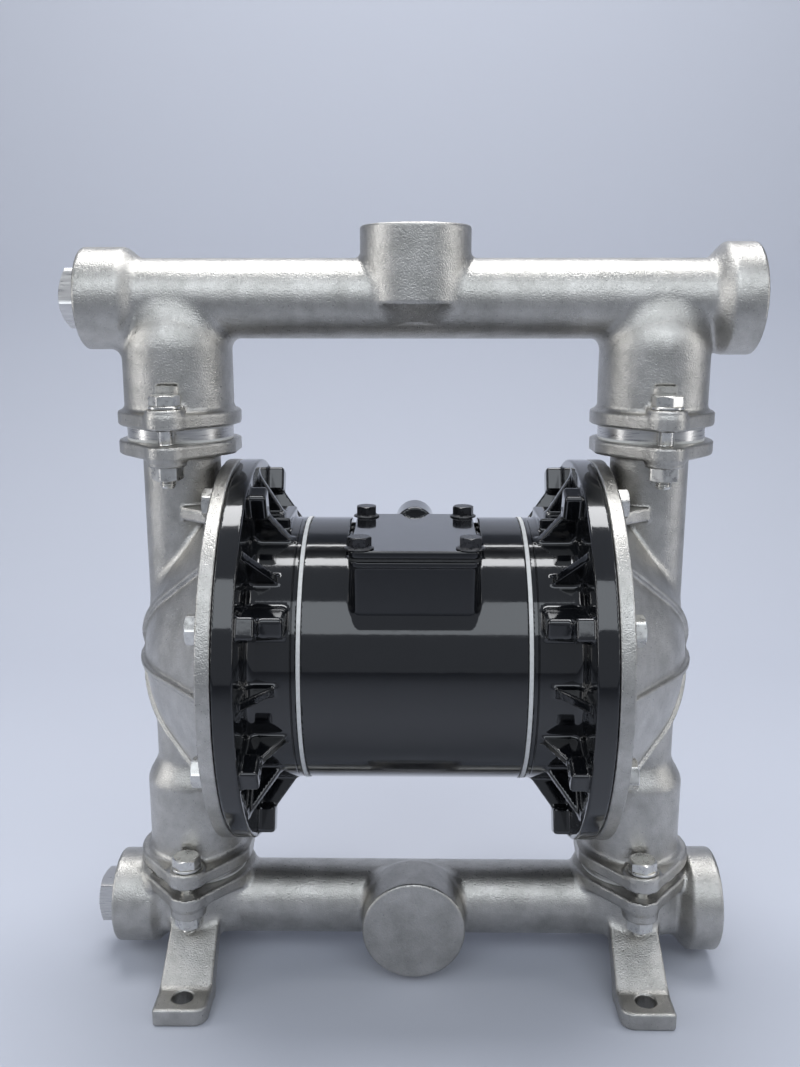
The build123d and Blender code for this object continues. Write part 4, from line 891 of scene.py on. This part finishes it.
coverBolt = {
    "r": 4.0, "across": 13.0, "head": 7.5, "length": 22.0, "inX": 6.7, "inFront": 7.5, "inBack": 10.0,
    "flange": [(8.6, 0.0), (8.9, 0.4), (8.7, 0.9), (6.5, 2.0), (5.5, 2.6)],  # radius and height
}
c = coverBolt
coverLow, coverHigh = boxMm("valve_cover")
flange = skin([ringAt(r, z) for r, z in c["flange"]])
coverShell = together([hexHead(c["across"], c["head"]), flange, shank(c["r"], c["length"])])
frontY, backY = coverLow[1] + c["inFront"], coverHigh[1] - c["inBack"]
repeat("cover_bolts_set", corners, raised(coverShell, coverHigh[2]), {
    "Width": (coverHigh[0] - coverLow[0] - 2 * c["inX"]) * mm, "Depth": (backY - frontY) * mm,
    "Centre": (backY + frontY) / 2 * mm, "Seed": 9,
}, "black_fasteners", "cover_bolts")

# square plugs in the left ends of both manifolds
plugSizes = {
    "across": 28.0, "head": 12.0, "corner": 1.36, "collarR": 24.0, "collar": 1.0, "collarEdge": 0.2, "bodyR": 19.5,
    "bodyEdge": 1.0, "tip": 0.99, "slope": 18.0, "edge": (0.9, 0.5), "centre": 6.0,
}


def squarePlug(node, level, turn):
    q = plugSizes
    low, high = boxMm(node)
    reach = high[0] - low[0]
    square = np.roll(flatsRadius(4, q["across"], q["corner"]), int(round(turn * ringCount / 360)))
    inward, drop = q["edge"]
    rim = reach - np.maximum(square - q["tip"] * q["across"] / 2, 0) * tan(radians(q["slope"]))
    start = reach - q["head"]
    shoulder = start - q["collar"]
    points, faces = skin([
        ringAt(q["bodyR"] - q["bodyEdge"], 0), ringAt(q["bodyR"], q["bodyEdge"]), ringAt(q["bodyR"], shoulder),
        ringAt(q["collarR"], shoulder), ringAt(q["collarR"], start - q["collarEdge"]),
        ringAt(q["collarR"] - q["collarEdge"], start), ringAt(square, start), ringAt(square, rim - drop),
        ringAt(square - inward, rim), ringAt(square - q["centre"], rim)])
    points = np.stack([high[0] - points[:, 2], points[:, 1], level + points[:, 0]], 1)
    piece = meshPiece(node + "_turned", points, faces)
    piece.data.set_sharp_from_angle(angle=radians(crispAngle))
    finishPiece(piece, "turned_stainless", node)


squarePlug("outlet_plug", outletZ, 35)
squarePlug("inlet_plug", inletZ, 0)


def coverShape(x, y, z, edge=1.4):
    plan = boxPlan(x, y, coverHigh[0], -coverLow[1], blockSizes["corner"])
    return kept(np.maximum(plan, y - coverHigh[1]), slab(z, coverLow[2], coverHigh[2]), edge)


castPieces("valve cover", ["valve_cover"], coverShape, coverLow, coverHigh, netStep["cover"], "black_enamel")
print("castings, plugs and fasteners placed")

# camera
eye = {"at": (-0.0008, -0.6742, 0.4535), "yaw": -0.77, "pitch": 12.23, "lens": 34.94, "sensor": 36}
camera = bpy.data.objects.new("camera", bpy.data.cameras.new("camera"))
camera.data.lens = eye["lens"]
camera.data.sensor_width = eye["sensor"]
camera.location = eye["at"]
camera.rotation_euler = (radians(90 - eye["pitch"]), 0, radians(-eye["yaw"]))
bpy.context.scene.collection.objects.link(camera)
bpy.context.scene.camera = camera


# stage
# the second floor colour is painted shade, greying the floor in front of the pump
stageSizes = {
    "half": 3.0, "backY": 1.1, "bend": 0.5, "bendParts": 16, "height": 3.2, "colour": (0.50, 0.52, 0.58),
    "paintedShadeFront": (0.28, 0.29, 0.32), "fade": (-1.4, -0.15), "rough": 0.9, "specular": 0.1,
}


def paleCard(name):
    # pale where the pump stands; painted shade makes it greyer well in front of it, so the metal reflects a darker
    # ground there
    s = stageSizes
    material, tree, shader, where = newMaterial(name)
    split = tree.nodes.new("ShaderNodeSeparateXYZ")
    tree.links.new(where, split.inputs[0])
    fade = spread(tree, split.outputs["Y"], *s["fade"], 0, 1)
    tree.links.new(tint(tree, fade, s["paintedShadeFront"], s["colour"]), shader.inputs["Base Color"])
    shader.inputs["Roughness"].default_value = s["rough"]
    shader.inputs["Specular IOR Level"].default_value = s["specular"]
    return material


def sweepStage():
    s = stageSizes
    path = [(-s["half"], 0.0)]
    for k in range(s["bendParts"] + 1):
        turn = pi / 2 * k / s["bendParts"]
        path.append((s["backY"] - s["bend"] + s["bend"] * sin(turn), s["bend"] - s["bend"] * cos(turn)))
    path.append((s["backY"], s["height"]))
    points = [(x / mm, y / mm, z / mm) for x in (-s["half"], s["half"]) for y, z in path]
    n = len(path)
    faces = [(k, k + n, k + n + 1, k + 1) for k in range(n - 1)]
    sweep = meshPiece("floor_sweep", points, faces)
    sweep.data.materials.append(paleCard("pale_card"))


def softLight(name, at, size, watts, colour=(1, 1, 1), aim=(0, 0, 0.25)):
    lamp = bpy.data.lights.new(name, "AREA")
    lamp.shape = "RECTANGLE"
    lamp.size, lamp.size_y = size
    lamp.energy = watts
    lamp.color = colour
    holder = bpy.data.objects.new(name, lamp)
    holder.location = at
    holder.rotation_euler = (Vector(aim) - Vector(at)).to_track_quat("-Z", "Y").to_euler()
    bpy.context.scene.collection.objects.link(holder)


worldSizes = {"colour": (0.80, 0.86, 0.98, 1), "low": 0.02, "high": 0.45, "from": 0.0, "to": 0.8, "shown": 0.42}


def studioWorld():
    w = worldSizes
    world = bpy.data.worlds.new("studio")
    world.use_nodes = True
    tree = world.node_tree
    shader = tree.nodes["Background"]
    where = tree.nodes.new("ShaderNodeTexCoord").outputs["Generated"]
    split = tree.nodes.new("ShaderNodeSeparateXYZ")
    tree.links.new(where, split.inputs[0])
    light = spread(tree, split.outputs["Z"], w["from"], w["to"], w["low"], w["high"])
    # the camera and reflections see an even pale room
    ray = tree.nodes.new("ShaderNodeLightPath").outputs
    seen = ray["Is Camera Ray"]
    for other in ("Is Glossy Ray", "Is Transmission Ray"):
        either = tree.nodes.new("ShaderNodeMath")
        either.operation = "MAXIMUM"
        tree.links.new(seen, either.inputs[0])
        tree.links.new(ray[other], either.inputs[1])
        seen = either.outputs[0]
    strength = tree.nodes.new("ShaderNodeMix")
    tree.links.new(seen, strength.inputs["Factor"])
    tree.links.new(light, strength.inputs["A"])
    strength.inputs["B"].default_value = w["shown"]
    tree.links.new(strength.outputs["Result"], shader.inputs["Strength"])
    shader.inputs["Color"].default_value = w["colour"]
    bpy.context.scene.world = world


sweepStage()
studioWorld()
softLight("front_light", (0.0, -1.25, 1.30), (2.6, 0.8), 13, (0.88, 0.94, 1.0))
softLight("top_light", (0.0, 0.30, 1.8), (1.4, 0.7), 26, (0.97, 0.98, 1.0))
softLight("left_light", (-1.5, -0.3, 0.7), (0.3, 1.2), 5)
softLight("right_light", (1.5, -0.3, 0.7), (0.3, 1.2), 4)
bpy.context.scene.view_settings.view_transform = "Standard"
print("camera, stage and lights placed")
